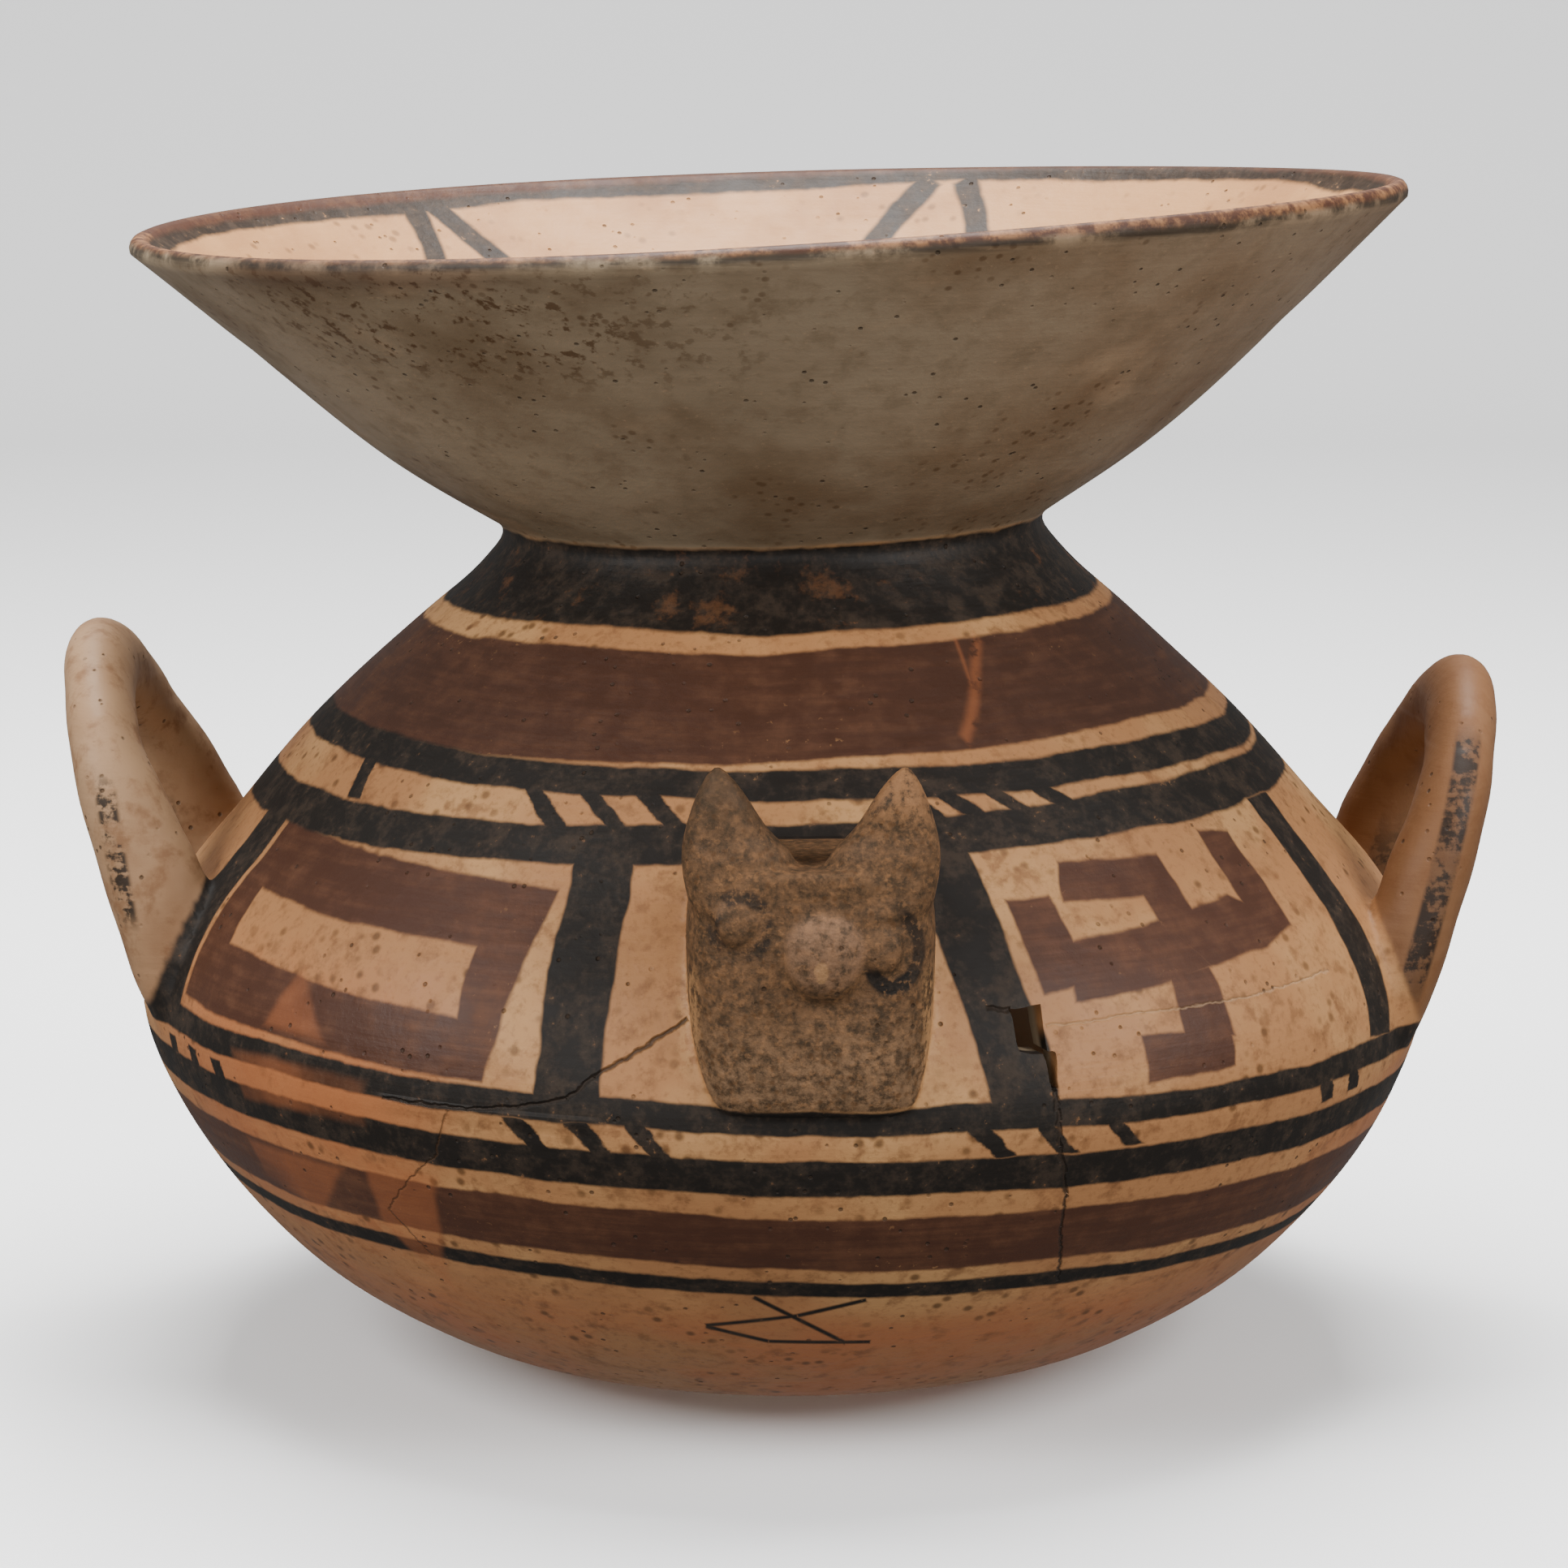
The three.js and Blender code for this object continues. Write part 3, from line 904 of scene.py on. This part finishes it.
# Turn at the lip and drift below it of the two strokes of each pair inside the mouth
MOUTH_PAIRS = [
    (-140.6, 4.8, -140.8, -9.2),
    (162.8, 9.7, 159.2, -9.2),
    (99, 7, 97, -7),
    (40, 7, 38, -7),
    (-50, 7, -52, -7),
]
LEFT_CRACK = [(-7.7, 101.5), (-12.9, 93.5), (-15.2, 90.0), (-17.4, 85.4)]
LEFT_CRACK += [(-21.6, 82.8), (-26.3, 81.3), (-34.5, 81.0)]
BRANCH_CRACK = [(-28.1, 80.3), (-29.8, 70.7), (-34.8, 60.6), (-37.6, 54.5), (-35.3, 44.1)]
RIGHT_CRACKS = [
    ([(17.6, 102.4), (19.5, 101.7)], 0.6),
    ([(22.4, 86), (22.8, 74.1), (24.2, 63.1)], 0.9),
    ([(24.2, 63.1), (24.6, 55), (26.5, 41)], 0.5),
]
MENDED_CRACK = [(22.6, 98.2), (31.1, 98.6), (45.1, 98.2), (56.4, 98.8)]


def over(*shapes):
    """The strongest of several masks."""
    whole = shapes[0]
    for shape in shapes[1:]:
        whole = whole.top(shape)
    return whole


class JarPaint:
    """Slip, matt paints, wear, cracks and stains, all from the place on the jar.

    The mouth's finish leaves out what lies below the neck, and the belly's what lies in the funnel.
    """

    def __init__(self, name, mouth):
        jar = sizes()[0]
        self.tint = bpy.context.scene.jar_colours
        self.mouth = mouth
        self.pot = Palette(name)
        self.place = self.pot.node("ShaderNodeTexCoord", {}, {}, "Object")
        self.x, self.y, self.z = (along * (1 / MM) for along in self.pot.axes(self.place))
        zones = (self.zone(name) for name in ("inside", "head", "handle"))
        self.inside, self.on_head, self.on_handle = zones
        self.places(jar)
        self.grains()

    def zone(self, name):
        return self.pot.node("ShaderNodeAttribute", {"attribute_name": name}, {}, "Fac")

    def places(self, jar):
        """Turn and height, plain and with the shake of a hand that paints."""
        pot, x, y, z = self.pot, self.x, self.y, self.z
        straight = x - z * jar.lean
        self.cosine = straight / pot.root(straight * straight + y * y).top(1)
        self.turn = pot.node("ShaderNodeMath", {"operation": "ARCTAN2"}, [straight, y * -1]) * (180 / math.pi)
        self.front = y.ramp(4, -4)
        self.hand = (pot.grain(self.place, 240, 3) - 0.5) * 0.8
        self.level = z + (pot.grain(self.place, 26, 2) - 0.5) * 3.6 + self.hand
        self.plain_spot = self.spot_of(self.turn, z)
        self.round_spot = self.spot_of(self.turn + (pot.grain(self.place, 40, 3) - 0.5) * 2.6, self.level)
        self.at_neck = z - x * jar.neck_tilt
        self.at_lip = z - x * jar.mouth_tilt

    def grains(self):
        """The noises that every finish shares, from the widest stains to the finest grit."""
        pot, place = self.pot, self.place
        self.cloud = pot.grain(place, 22, 4, 0.6)
        self.mottle = pot.grain(place, 150, 5, 0.65)
        self.fine = pot.grain(place, 620, 4, 0.6)
        self.speck_here = pot.grain(place, 45, 2)
        self.speck = pot.spots(place, 210).ramp(0.32, 0.10) * self.speck_here.ramp(0.40, 0.60)
        self.freckles = pot.grain(place, 190, 4, 0.6).ramp(0.52, 0.70) * self.speck_here.ramp(0.30, 0.55)
        self.streak = pot.grain(pot.vector(self.turn * 0.02, self.z * 0.14, self.y * 0.004), 4, 4, 0.6)
        self.worn_line = self.fine.ramp(0.62, 0.72) * self.mottle.ramp(0.50, 0.62)
        thin_black = (self.mottle + self.fine * 0.5).ramp(0.66, 0.95)
        self.ink = pot.mix(thin_black, self.tint.black, self.tint.black_worn)

    def spot_of(self, at, up):
        """A place on the wall as [turn, height, 1], which a line's three numbers are weighed against."""
        return self.pot.vector(at, up, 1)

    def weigh(self, spot, line):
        return self.pot.node("ShaderNodeVectorMath", {"operation": "DOT_PRODUCT"}, [spot, line], "Value")

    def band(self, low, high, tilt, edge=0.45):
        line = self.level - self.cosine * tilt - (low + high) / 2
        return line.size().ramp((high - low) / 2 + edge, (high - low) / 2 - edge)

    def patch(self, points, edge=0.5, spot=None):
        """A straight-sided shape with its points around it."""
        spot = spot or self.round_spot
        area = sum(a[0] * b[1] - b[0] * a[1] for a, b in zip(points, points[1:] + points[:1]))
        points = points if area > 0 else points[::-1]
        depth = None
        for (a0, a1), (b0, b1) in zip(points, points[1:] + points[:1]):
            dx, dy = (b0 - a0) * DEGREE, b1 - a1
            size = math.hypot(dx, dy)
            start = (a0 * DEGREE * dy - a1 * dx) / size
            side = self.weigh(spot, (-DEGREE * dy / size, dx / size, start))
            depth = side if depth is None else depth.least(side)
        return depth.ramp(-edge, edge)

    def stroke(self, start, end, wide, edge=0.35, spot=None):
        """A line between two places, wide mm across."""
        spot = spot or self.plain_spot
        (a0, a1), (b0, b1) = start, end
        dx, dy = (b0 - a0) * DEGREE, b1 - a1
        size = math.hypot(dx, dy)
        dx, dy = dx / size, dy / size
        run = self.weigh(spot, (DEGREE * dx, dy, -a0 * DEGREE * dx - a1 * dy - size / 2))
        off = self.weigh(spot, (-DEGREE * dy, dx, a0 * DEGREE * dy - a1 * dx))
        away = (run.size() - (size - wide) / 2).top(off.size())
        return away.ramp(wide / 2 + edge, wide / 2 - edge)

    def slip(self):
        """The cream ground with its stains, specks and orange burnished patches."""
        pot, tint, cloud, turn, z = self.pot, self.tint, self.cloud, self.turn, self.z
        ground = pot.mix(cloud.ramp(0.42, 0.66), tint.cream, tint.cream_light)
        ground = pot.mix(self.mottle.ramp(0.52, 0.72) * 0.55, ground, tint.cream_dark)
        ground = pot.mix(self.fine.ramp(0.5, 0.74) * 0.42, ground, tint.cream_dark)
        left_glow = (turn + 50 + cloud * 24 - 12).size().ramp(26, 8)
        left_glow = left_glow * (z - 72 + self.mottle * 20 - 10).size().ramp(40, 12)
        right_glow = (turn - 72).size().ramp(26, 8) * (z - 60 + cloud * 20).size().ramp(30, 12) * 0.7
        below = (z + cloud * 26 - 13).ramp(46, 30)
        self.glow = over(left_glow * 0.85, below * cloud.ramp(0.36, 0.6), right_glow)
        ground = pot.mix(self.glow * 0.8, ground, tint.terracotta)
        ground = pot.mix(self.speck * 0.75, ground, tint.rust)
        return pot.mix(self.freckles * 0.6, ground, tint.cream_dark)

    def brown_paint(self, skin):
        """Brown bands, the ring panel on the left and the key panel on the right."""
        pot, tint, patch = self.pot, self.tint, self.patch
        bands = [self.band(*edges) for edges in BROWN_BANDS]
        ring = patch(RING_PANEL) * (1 - patch(RING_WINDOW))
        key = over(*(patch(points) for points in KEY_PANEL)) * self.front
        thin = (self.mottle * 0.6 + self.streak * 0.5 + self.cloud * 0.35).ramp(0.62, 0.95)
        umber = pot.mix(thin, tint.umber, tint.umber_thin)
        umber = pot.mix(over(self.speck, self.freckles) * 0.5, umber, tint.umber)
        umber = pot.mix(self.z.ramp(142, 150) * 0.24, umber, tint.black)
        worn = self.fine.ramp(0.64, 0.72) * self.cloud.ramp(0.42, 0.66) * 0.7
        skin = pot.mix(over(*bands, ring, key) * (1 - worn * 0.8), skin, umber)
        scrape = self.stroke((34.5, 168), (24, 150), 2.6, 1.2, self.round_spot)
        scrape = over(scrape, self.stroke((30, 168), (28.5, 158), 1.2, 0.9))
        return pot.mix(scrape * self.mottle.ramp(0.36, 0.5) * 0.34, skin, tint.terracotta)

    def black_paint(self, skin):
        """Black lines, bars, ticks and the sign, the worn collar, and the sherds that burnt orange."""
        pot, tint = self.pot, self.tint
        slant_spot = self.spot_of(self.turn + (self.mottle - 0.5) * 1.8, self.level)
        ticks = []
        for (top, bottom, wide), starts in TICK_ROWS:
            for left, slant in starts:
                ends = [(left, top), (left + wide, top)]
                ends += [(left + wide + slant, bottom), (left + slant, bottom)]
                ticks.append(self.patch(ends, 0.35, slant_spot))
        sign = over(*(self.stroke(*stroke) for stroke in SIGN_STROKES)) * self.front
        lines = [self.band(*edges) for edges in BLACK_LINES]
        bars = [self.patch(points) for points in BARS]
        self.blacks = over(*lines, *bars, *ticks, sign)
        scratch = pot.grain(pot.vector(self.turn * 0.3, self.z * 0.08, 0), 3, 5, 0.7).ramp(0.66, 0.72)
        skin = pot.mix(self.blacks * (1 - over(self.worn_line, scratch * 0.5) * 0.6), skin, self.ink)

        self.collar_top = (pot.grain(self.place, 90, 3) - 0.5) * 3
        collar = self.band(169.9, 186.5, 1.5, 0.5) * (self.at_neck + self.collar_top).ramp(187.6, 186.0)
        rubbed = pot.grain(self.place, 85, 5, 0.72).ramp(0.56, 0.68) * 0.6
        worn = over(self.worn_line * 0.8, scratch * 0.5, rubbed)
        skin = pot.mix(collar, skin, pot.mix(worn * 0.75, self.ink, tint.cream_dark))
        sherds = over(*(self.patch(points, 1.2) for points in ORANGE_SHERDS))
        return pot.mix(sherds * self.front * self.cloud.ramp(0.2, 0.6) * 0.4, skin, tint.terracotta)

    def funnel(self, skin):
        """The funnel's grey outside with its rust specks and the stain under the lip."""
        pot, tint, cloud, mottle = self.pot, self.tint, self.cloud, self.mottle
        clay = pot.mix(cloud.ramp(0.35, 0.7), tint.grey, tint.grey_dark)
        clay = pot.mix((self.x + cloud * 160 - 80).ramp(-40, 110) * 0.35, clay, tint.tan)
        clay = pot.mix(pot.grain(self.place, 30, 3).ramp(0.60, 0.74) * 0.35, clay, tint.dust_and_light)
        clay = pot.mix(mottle.ramp(0.46, 0.7) * 0.45, clay, tint.grey_dark)
        clay = pot.mix(self.fine.ramp(0.60, 0.78) * 0.4, clay, tint.dust_and_light)
        cluster = (self.turn + 32 + cloud * 40 - 20).size().ramp(34, 8) * self.front
        cluster = cluster * (self.z - 238 + cloud * 16 - 8).size().ramp(17, 5)
        rusty = pot.grain(self.place, 300, 4, 0.6).ramp(0.54, 0.63) * cluster
        single = pot.spots(self.place, 330).ramp(0.36, 0.16) * self.speck_here.ramp(0.5, 0.66) * 0.7
        clay = pot.mix(over(rusty, single) * 0.8, clay, tint.rust)
        under_lip = self.at_lip + (self.streak - 0.5) * 3
        stain = (self.turn + 38).size().ramp(24, 8) * under_lip.ramp(245.5, 251.5) * self.front
        clay = pot.mix(stain * 0.55, clay, tint.umber)
        rim_line = under_lip.ramp(251.0, 253.4) * (self.speck_here * 0.6 + mottle * 0.5).ramp(0.42, 0.58)
        clay = pot.mix(rim_line * 0.85, clay, tint.black)
        if self.mouth:
            return clay
        return pot.mix((self.at_neck + self.collar_top * 0.4).ramp(185.9, 187.3), skin, clay)

    def handles(self, skin):
        """Burnished tan with a worn black stripe down the outer side of each handle, the left handle painted
        paler and the right darker as painted light and shade.
        """
        if self.mouth:
            return skin
        pot, tint, x, z = self.pot, self.tint, self.x, self.z
        # Chalky wear, and painted light that makes the left handle paler.
        tan = pot.mix((self.cloud - x * 0.0008).ramp(0.36, 0.72) * 0.75, tint.tan, tint.dust_and_light)
        tan = pot.mix(self.mottle.ramp(0.48, 0.7) * 0.6, tan, tint.cream_dark)
        tan = pot.mix(self.glow * 0.4, tan, tint.terracotta)
        # Brown stain on both handles, and painted shade that makes the right handle darker.
        tan = pot.mix(0.18 + x.ramp(60, 140) * 0.36, tan, tint.cream_dark)
        worn = (self.mottle * 0.7 + self.fine * 0.5 + self.streak * 0.3).ramp(0.70, 0.83)
        right = (x - 134.2 - (z - 90.6) * 0.272).size().ramp(3.5, 2.3) * (z + self.mottle * 6).ramp(89, 92)
        left = (x + 142.9 + (z - 105.2) * 0.1815).size().ramp(3.0, 1.6) * (z - 119).size().ramp(18, 12)
        stripe = over(right * (1 - worn * 0.6), left * (1 - worn)) * (self.y.size() - 30).ramp(0, 5)
        tan = pot.mix(stripe * 0.92, tan, self.ink)
        return pot.mix(self.on_handle.ramp(0.25, 0.8), skin, tan)

    def eye_ring(self, mid_x, mid_z, inner, outer, squash):
        """A painted ring of the front head, squash times narrower than tall by area."""
        across, up = self.x - mid_x, self.z + self.hand * 0.8 - mid_z
        off = self.pot.root(across * across * squash + up * up)
        return off.ramp(inner - 0.5, inner + 0.5) * off.ramp(outer + 0.6, outer - 0.6)

    def heads(self, skin):
        """Dark mottled skin, worn ears, a greyer nose with a painted highlight on its broken tip, ringed
        eyes, and pale sides with a painted highlight.
        """
        if self.mouth:
            return skin
        pot, tint, x, z, mottle, fine = self.pot, self.tint, self.x, self.z, self.mottle, self.fine
        coarse = pot.grain(self.place, 420, 6, 0.72)
        face = pot.mix(coarse.ramp(0.32, 0.66) * 0.55, tint.olive, tint.tan)
        face = pot.mix(fine.ramp(0.50, 0.68) * 0.3, face, tint.cream)
        chin = (z + self.cloud * 20 - 10).ramp(112, 92)
        face = pot.mix(chin * coarse.ramp(0.36, 0.62) * 0.16, face, tint.dust_and_light)
        face = pot.mix(mottle.ramp(0.50, 0.68) * 0.35, face, tint.olive)
        pitted = pot.spots(self.place, 560).ramp(0.42, 0.16) * mottle.ramp(0.42, 0.56)
        face = pot.mix(pitted * 0.55, face, tint.rust)
        worn_ear = (z - 146).ramp(-8, 6) * x.ramp(6, 14) * coarse.ramp(0.36, 0.54) * 0.45
        face = pot.mix(worn_ear, face, tint.cream)
        dark_ear = (z - 146).ramp(-12, 4) * x.ramp(8, -2) * coarse.ramp(0.28, 0.5) * 0.5
        face = pot.mix(dark_ear, face, tint.olive)
        off_nose = pot.root((x - 6.5) * (x - 6.5) + (z - 118) * (z - 118))
        snout = (off_nose + (mottle - 0.5) * 5).ramp(8.6, 6.6)
        face = pot.mix(snout * coarse.ramp(0.3, 0.56) * 0.33, face, tint.nose)
        # Pale spot on the nose's tip: the broken tip's bare clay and a painted highlight.
        scar_and_highlight = ((x - 6) * (x - 6) * 2.2 + (z - 114.6) * (z - 114.6) + (fine - 0.5) * 12).ramp(6.0, 3.0)
        face = pot.mix(scar_and_highlight * 0.35, face, tint.cream_light)
        kept = over((x - 20).ramp(0, 3) * 0.8, (z - 115).ramp(1, -2))
        right_eye = self.eye_ring(20.2, 117.7, 5.4, 9.0, 2.0) * kept
        left_eye = self.eye_ring(-10, 122.7, 4.8, 7.8, 1.4) * mottle.ramp(0.41, 0.53) * 0.8
        face = pot.mix(over(right_eye, left_eye) * (1 - fine.ramp(0.54, 0.62) * 0.7), face, self.ink)
        skin = pot.mix(self.on_head.ramp(0.2, 0.75) * self.level.ramp(84.2, 85.4), skin, face)
        # Pale strips down the head's sides: worn deposits, and a painted highlight on the side edges.
        side_highlight_and_wear = ((x - 4).size() - 24.6).size().ramp(3.4, 0.8) * (z - 101).size().ramp(15, 7)
        side_highlight_and_wear = side_highlight_and_wear * self.y.ramp(-120, -132) * coarse.ramp(0.42, 0.56)
        return pot.mix(side_highlight_and_wear * 0.6, skin, tint.cream_light)

    def mouth_inside(self, skin):
        """The cream inside with its dark line and paired strokes, painted shade down the neck, and the worn
        lip.
        """
        pot, tint = self.pot, self.tint
        if not self.mouth:
            return pot.mix(self.inside.ramp(0.3, 0.7), skin, tint.grey)
        slip = pot.mix(self.cloud.ramp(0.4, 0.62) * 0.7, tint.inside, tint.cream)
        slip = pot.mix(self.mottle.ramp(0.55, 0.75) * 0.35, slip, tint.cream)
        slip = pot.mix(self.speck * 0.5, slip, tint.rust)
        line = (self.level - self.x * sizes()[0].mouth_tilt).ramp(250.6, 251.8)
        pairs = [
            self.stroke((at, 254), (at + drift, 222), 6.6, 0.8, self.round_spot)
            for pair in MOUTH_PAIRS
            for at, drift in (pair[:2], pair[2:])
        ]
        dark = over(line, *pairs) * (1 - self.worn_line * 0.6) * (self.z - 205).ramp(0, 8)
        slip = pot.mix(dark * 0.97, slip, self.ink)
        # Painted shade: the inside grows darker down the neck and into the belly.
        slip = pot.mix(self.z.ramp(190, 120) * 0.8, slip, tint.grey_dark)
        skin = pot.mix(self.inside.ramp(0.3, 0.7), skin, slip)
        lip = (self.at_lip + (pot.grain(self.place, 120, 3) - 0.5) * 1.6).ramp(253.2, 254.8)
        pale = pot.grain(self.place, 210, 5, 0.7).ramp(0.42, 0.66) * (self.front * 0.5 + 0.12)
        return pot.mix(lip, skin, pot.mix(pale, tint.umber, tint.cream))

    def crack(self, points, wide):
        return over(*(self.stroke(a, b, wide, 0.3, self.crack_spot) for a, b in zip(points, points[1:])))

    def cracks(self, skin):
        """Open cracks, hair cracks, the mended break and pores."""
        pot, tint, place = self.pot, self.tint, self.place
        self.crack_turn = self.turn + (pot.grain(place, 420, 2) - 0.5) * 0.7
        self.crack_up = self.z + (pot.grain(place, 380, 2) - 0.5) * 1.4
        self.crack_spot = self.spot_of(self.crack_turn, self.crack_up)
        right = [self.crack(points, wide) for points, wide in RIGHT_CRACKS]
        self.open_crack = over(self.crack(LEFT_CRACK, 0.7), *right) * self.front
        branches = self.crack(BRANCH_CRACK, 0.35) * self.front
        mended = self.crack(MENDED_CRACK, 0.35) * self.front
        self.hair = over(branches, mended)
        if not self.mouth:
            skin = pot.mix(self.open_crack * 0.85, skin, tint.crack)
            skin = pot.mix(branches * 0.6, skin, tint.rust)
            skin = pot.mix(mended * 0.5, skin, tint.dust_and_light)
        self.pores = pot.spots(place, 260).ramp(0.16, 0.07) * pot.grain(place, 70, 2).ramp(0.46, 0.6)
        return pot.mix(self.pores * 0.7, skin, tint.pore)

    def relief(self):
        """Gloss of the burnish, and the height of grit, pores, cracks and the raised sherd."""
        pot, cloud, mottle, fine = self.pot, self.cloud, self.mottle, self.fine
        gloss = (cloud * 0.25 + mottle * 0.2).ramp(0.12, 0.36, 0.46, 0.68) + self.pores * 0.2
        height = fine * 0.08 + mottle * 0.3 + cloud * 0.6 - self.pores * 0.6
        if not self.mouth:
            gloss = gloss + self.blacks * 0.1 + self.on_head * 0.12 - self.glow * 0.08
            sherd = (self.crack_up - 80.8).ramp(-3.4, 0) * (self.crack_turn + 25).size().ramp(11, 8)
            sherd = sherd * self.z.ramp(82.2, 81.2) * self.front
            height = height - self.open_crack * 1.1 - self.hair * 0.4 + sherd * 0.9
            height = height + self.on_head * (mottle + fine) * 0.35
        wiped = pot.grain(pot.vector(self.turn * 0.006, self.z * 0.05, 0), 6, 3, 0.6)
        bump = {"Strength": 0.75, "Distance": 0.001, "Height": height + wiped * 0.22}
        pot.finish("Roughness", gloss.top(0.28).least(0.9))
        pot.finish("Normal", pot.node("ShaderNodeBump", {}, bump))
        pot.finish("Specular IOR Level", 0.22)

    def material(self):
        skin = self.slip()
        bands = (self.brown_paint, self.black_paint)
        zones = (self.funnel, self.handles, self.heads, self.mouth_inside)
        for layer in (*bands, *zones, self.cracks):
            skin = layer(skin)
        self.pot.finish("Base Color", skin)
        self.relief()
        self.pot.clear_unused()
        return self.pot.material


# Floor, lights and camera


# Name, place, aim, size and power of each light, in metres and watts
SOFTBOXES = (
    ("left_softbox", (-1.15, -0.75, 1.0), (0, 0, 0.12), (0.7, 0.9), 26),
    ("right_softbox", (1.15, -0.75, 0.95), (0, 0, 0.12), (0.7, 0.9), 24),
    ("overhead", (0, 0.25, 1.5), (0, 0, 0), (1.0, 0.8), 66),
    ("low_front", (0, -1.5, 0.14), (0, 0, 0.15), (1.6, 0.2), 10),
)
# Side of the square photograph, and the camera's focal length, both in its pixels
PHOTO_SIDE = 1932
FOCAL_PIXELS = 6183.3
SENSOR = 36
# Place of the lens in mm, and how far it looks down, in radians
LENS_PLACE = Vector((-1.66, -1113, 320)) * MM
LOOKS_DOWN = 0.173


class JAR_OT_stage(bpy.types.Operator):
    """Sets the pale floor, the soft studio lights and the camera at the photograph's view"""

    bl_idname = "jar.stage"
    bl_label = "Floor, lights and camera"

    def execute(self, context):
        self.floor()
        self.lights()
        self.camera(context.scene)
        return {"FINISHED"}

    @staticmethod
    def floor():
        """A plane whose far edge is drawn up and rounded, brighter towards the back."""
        clear_selection()
        bpy.ops.mesh.primitive_plane_add(size=1, location=(0, -3.1, 0))
        bpy.ops.object.mode_set(mode="EDIT")
        bpy.ops.transform.resize(value=(16, 12, 1))
        bpy.ops.object.mode_set(mode="OBJECT")
        sweep = named("studio_floor")
        bpy.ops.object.mode_set(mode="EDIT")
        bpy.ops.mesh.select_mode(type="EDGE")
        bpy.ops.mesh.select_all(action="DESELECT")
        bpy.ops.object.mode_set(mode="OBJECT")
        far = [all(sweep.data.vertices[v].co.y > 1 for v in e.vertices) for e in sweep.data.edges]
        sweep.data.edges.foreach_set("select", far)
        bpy.ops.object.mode_set(mode="EDIT")
        bpy.ops.mesh.extrude_region_move(TRANSFORM_OT_translate={"value": (0, 0, 4)})
        bpy.ops.object.mode_set(mode="OBJECT")
        worked(sweep, "BEVEL", width=1.0, segments=16)
        bpy.ops.object.shade_smooth()
        paper = Palette("studio_paper")
        place = paper.node("ShaderNodeTexCoord", {}, {}, "Object")
        grain = paper.grain(place, 900, 2)
        far = paper.axes(place)[1].ramp(0.1, 2.4)
        paper.finish("Emission Color", paper.mix(far, (0, 0, 0), (1, 1, 1)))
        paper.finish("Emission Strength", 0.55)
        paper.finish("Base Color", paper.mix(grain * 0.05, (0.96, 0.96, 0.96), (0.9, 0.9, 0.9)))
        paper.finish("Roughness", 0.9)
        sweep.data.materials.append(paper.material)
        sweep.visible_diffuse = False
        sweep.visible_glossy = False

    @staticmethod
    def lights():
        for name, place, aim, size, power in SOFTBOXES:
            clear_selection()
            bpy.ops.object.light_add(type="AREA", location=place)
            light = bpy.context.object
            light.name = name
            light.data.shape = "RECTANGLE"
            light.data.size, light.data.size_y = size
            light.data.energy = power
            light.visible_camera = False
            light.rotation_euler = (Vector(aim) - Vector(place)).to_track_quat("-Z", "Y").to_euler()

        world = bpy.context.scene.world or bpy.data.worlds.new("studio")
        bpy.context.scene.world = world
        world.use_nodes = True
        fill = world.node_tree.nodes["Background"].inputs
        fill["Color"].default_value = (1, 1, 1, 1)
        fill["Strength"].default_value = 0.28

    @staticmethod
    def camera(scene):
        clear_selection()
        bpy.ops.object.camera_add(location=LENS_PLACE, rotation=(math.pi / 2 - LOOKS_DOWN, 0, 0))
        camera = bpy.context.object
        camera.name = "photo_camera"
        camera.data.sensor_fit = "HORIZONTAL"
        camera.data.sensor_width = SENSOR
        camera.data.lens = FOCAL_PIXELS / PHOTO_SIDE * SENSOR
        camera.data.shift_x = 2 / PHOTO_SIDE
        camera.data.shift_y = -1.8 / PHOTO_SIDE
        camera.data.clip_end = 50
        camera.data.dof.use_dof = False
        scene.camera = camera


class JAR_PT_panel(bpy.types.Panel):
    """Lists the jar's making in the sidebar"""

    bl_label = "Painted jar"
    bl_idname = "JAR_PT_panel"
    bl_space_type = "VIEW_3D"
    bl_region_type = "UI"
    bl_category = "Jar"

    def draw(self, context):
        for step in STEPS:
            self.layout.operator(step.bl_idname)
        for group in GROUPS:
            held = getattr(context.scene, group)
            box = self.layout.box()
            for name in held.bl_rna.properties.keys():
                if name not in ("rna_type", "name"):
                    box.prop(held, name)


STEPS = (JAR_OT_body, JAR_OT_handles, JAR_OT_heads, JAR_OT_hole, JAR_OT_finish, JAR_OT_stage)
GROUPS = {
    "jar_sizes": JarSizes,
    "handle_sizes": HandleSizes,
    "head_sizes": HeadSizes,
    "jar_colours": JarColours,
}


def register():
    for kind in (*GROUPS.values(), *STEPS, JAR_PT_panel):
        bpy.utils.register_class(kind)
    for name, kind in GROUPS.items():
        setattr(bpy.types.Scene, name, bpy.props.PointerProperty(type=kind))


def unregister():
    for name in GROUPS:
        delattr(bpy.types.Scene, name)
    for kind in reversed((*GROUPS.values(), *STEPS, JAR_PT_panel)):
        bpy.utils.unregister_class(kind)


def main():
    register()
    bpy.ops.jar.body()
    bpy.ops.jar.handles()
    bpy.ops.jar.heads()
    bpy.ops.jar.hole()
    bpy.ops.jar.finish()
    bpy.ops.jar.stage()


if __name__ == "__main__":
    main()
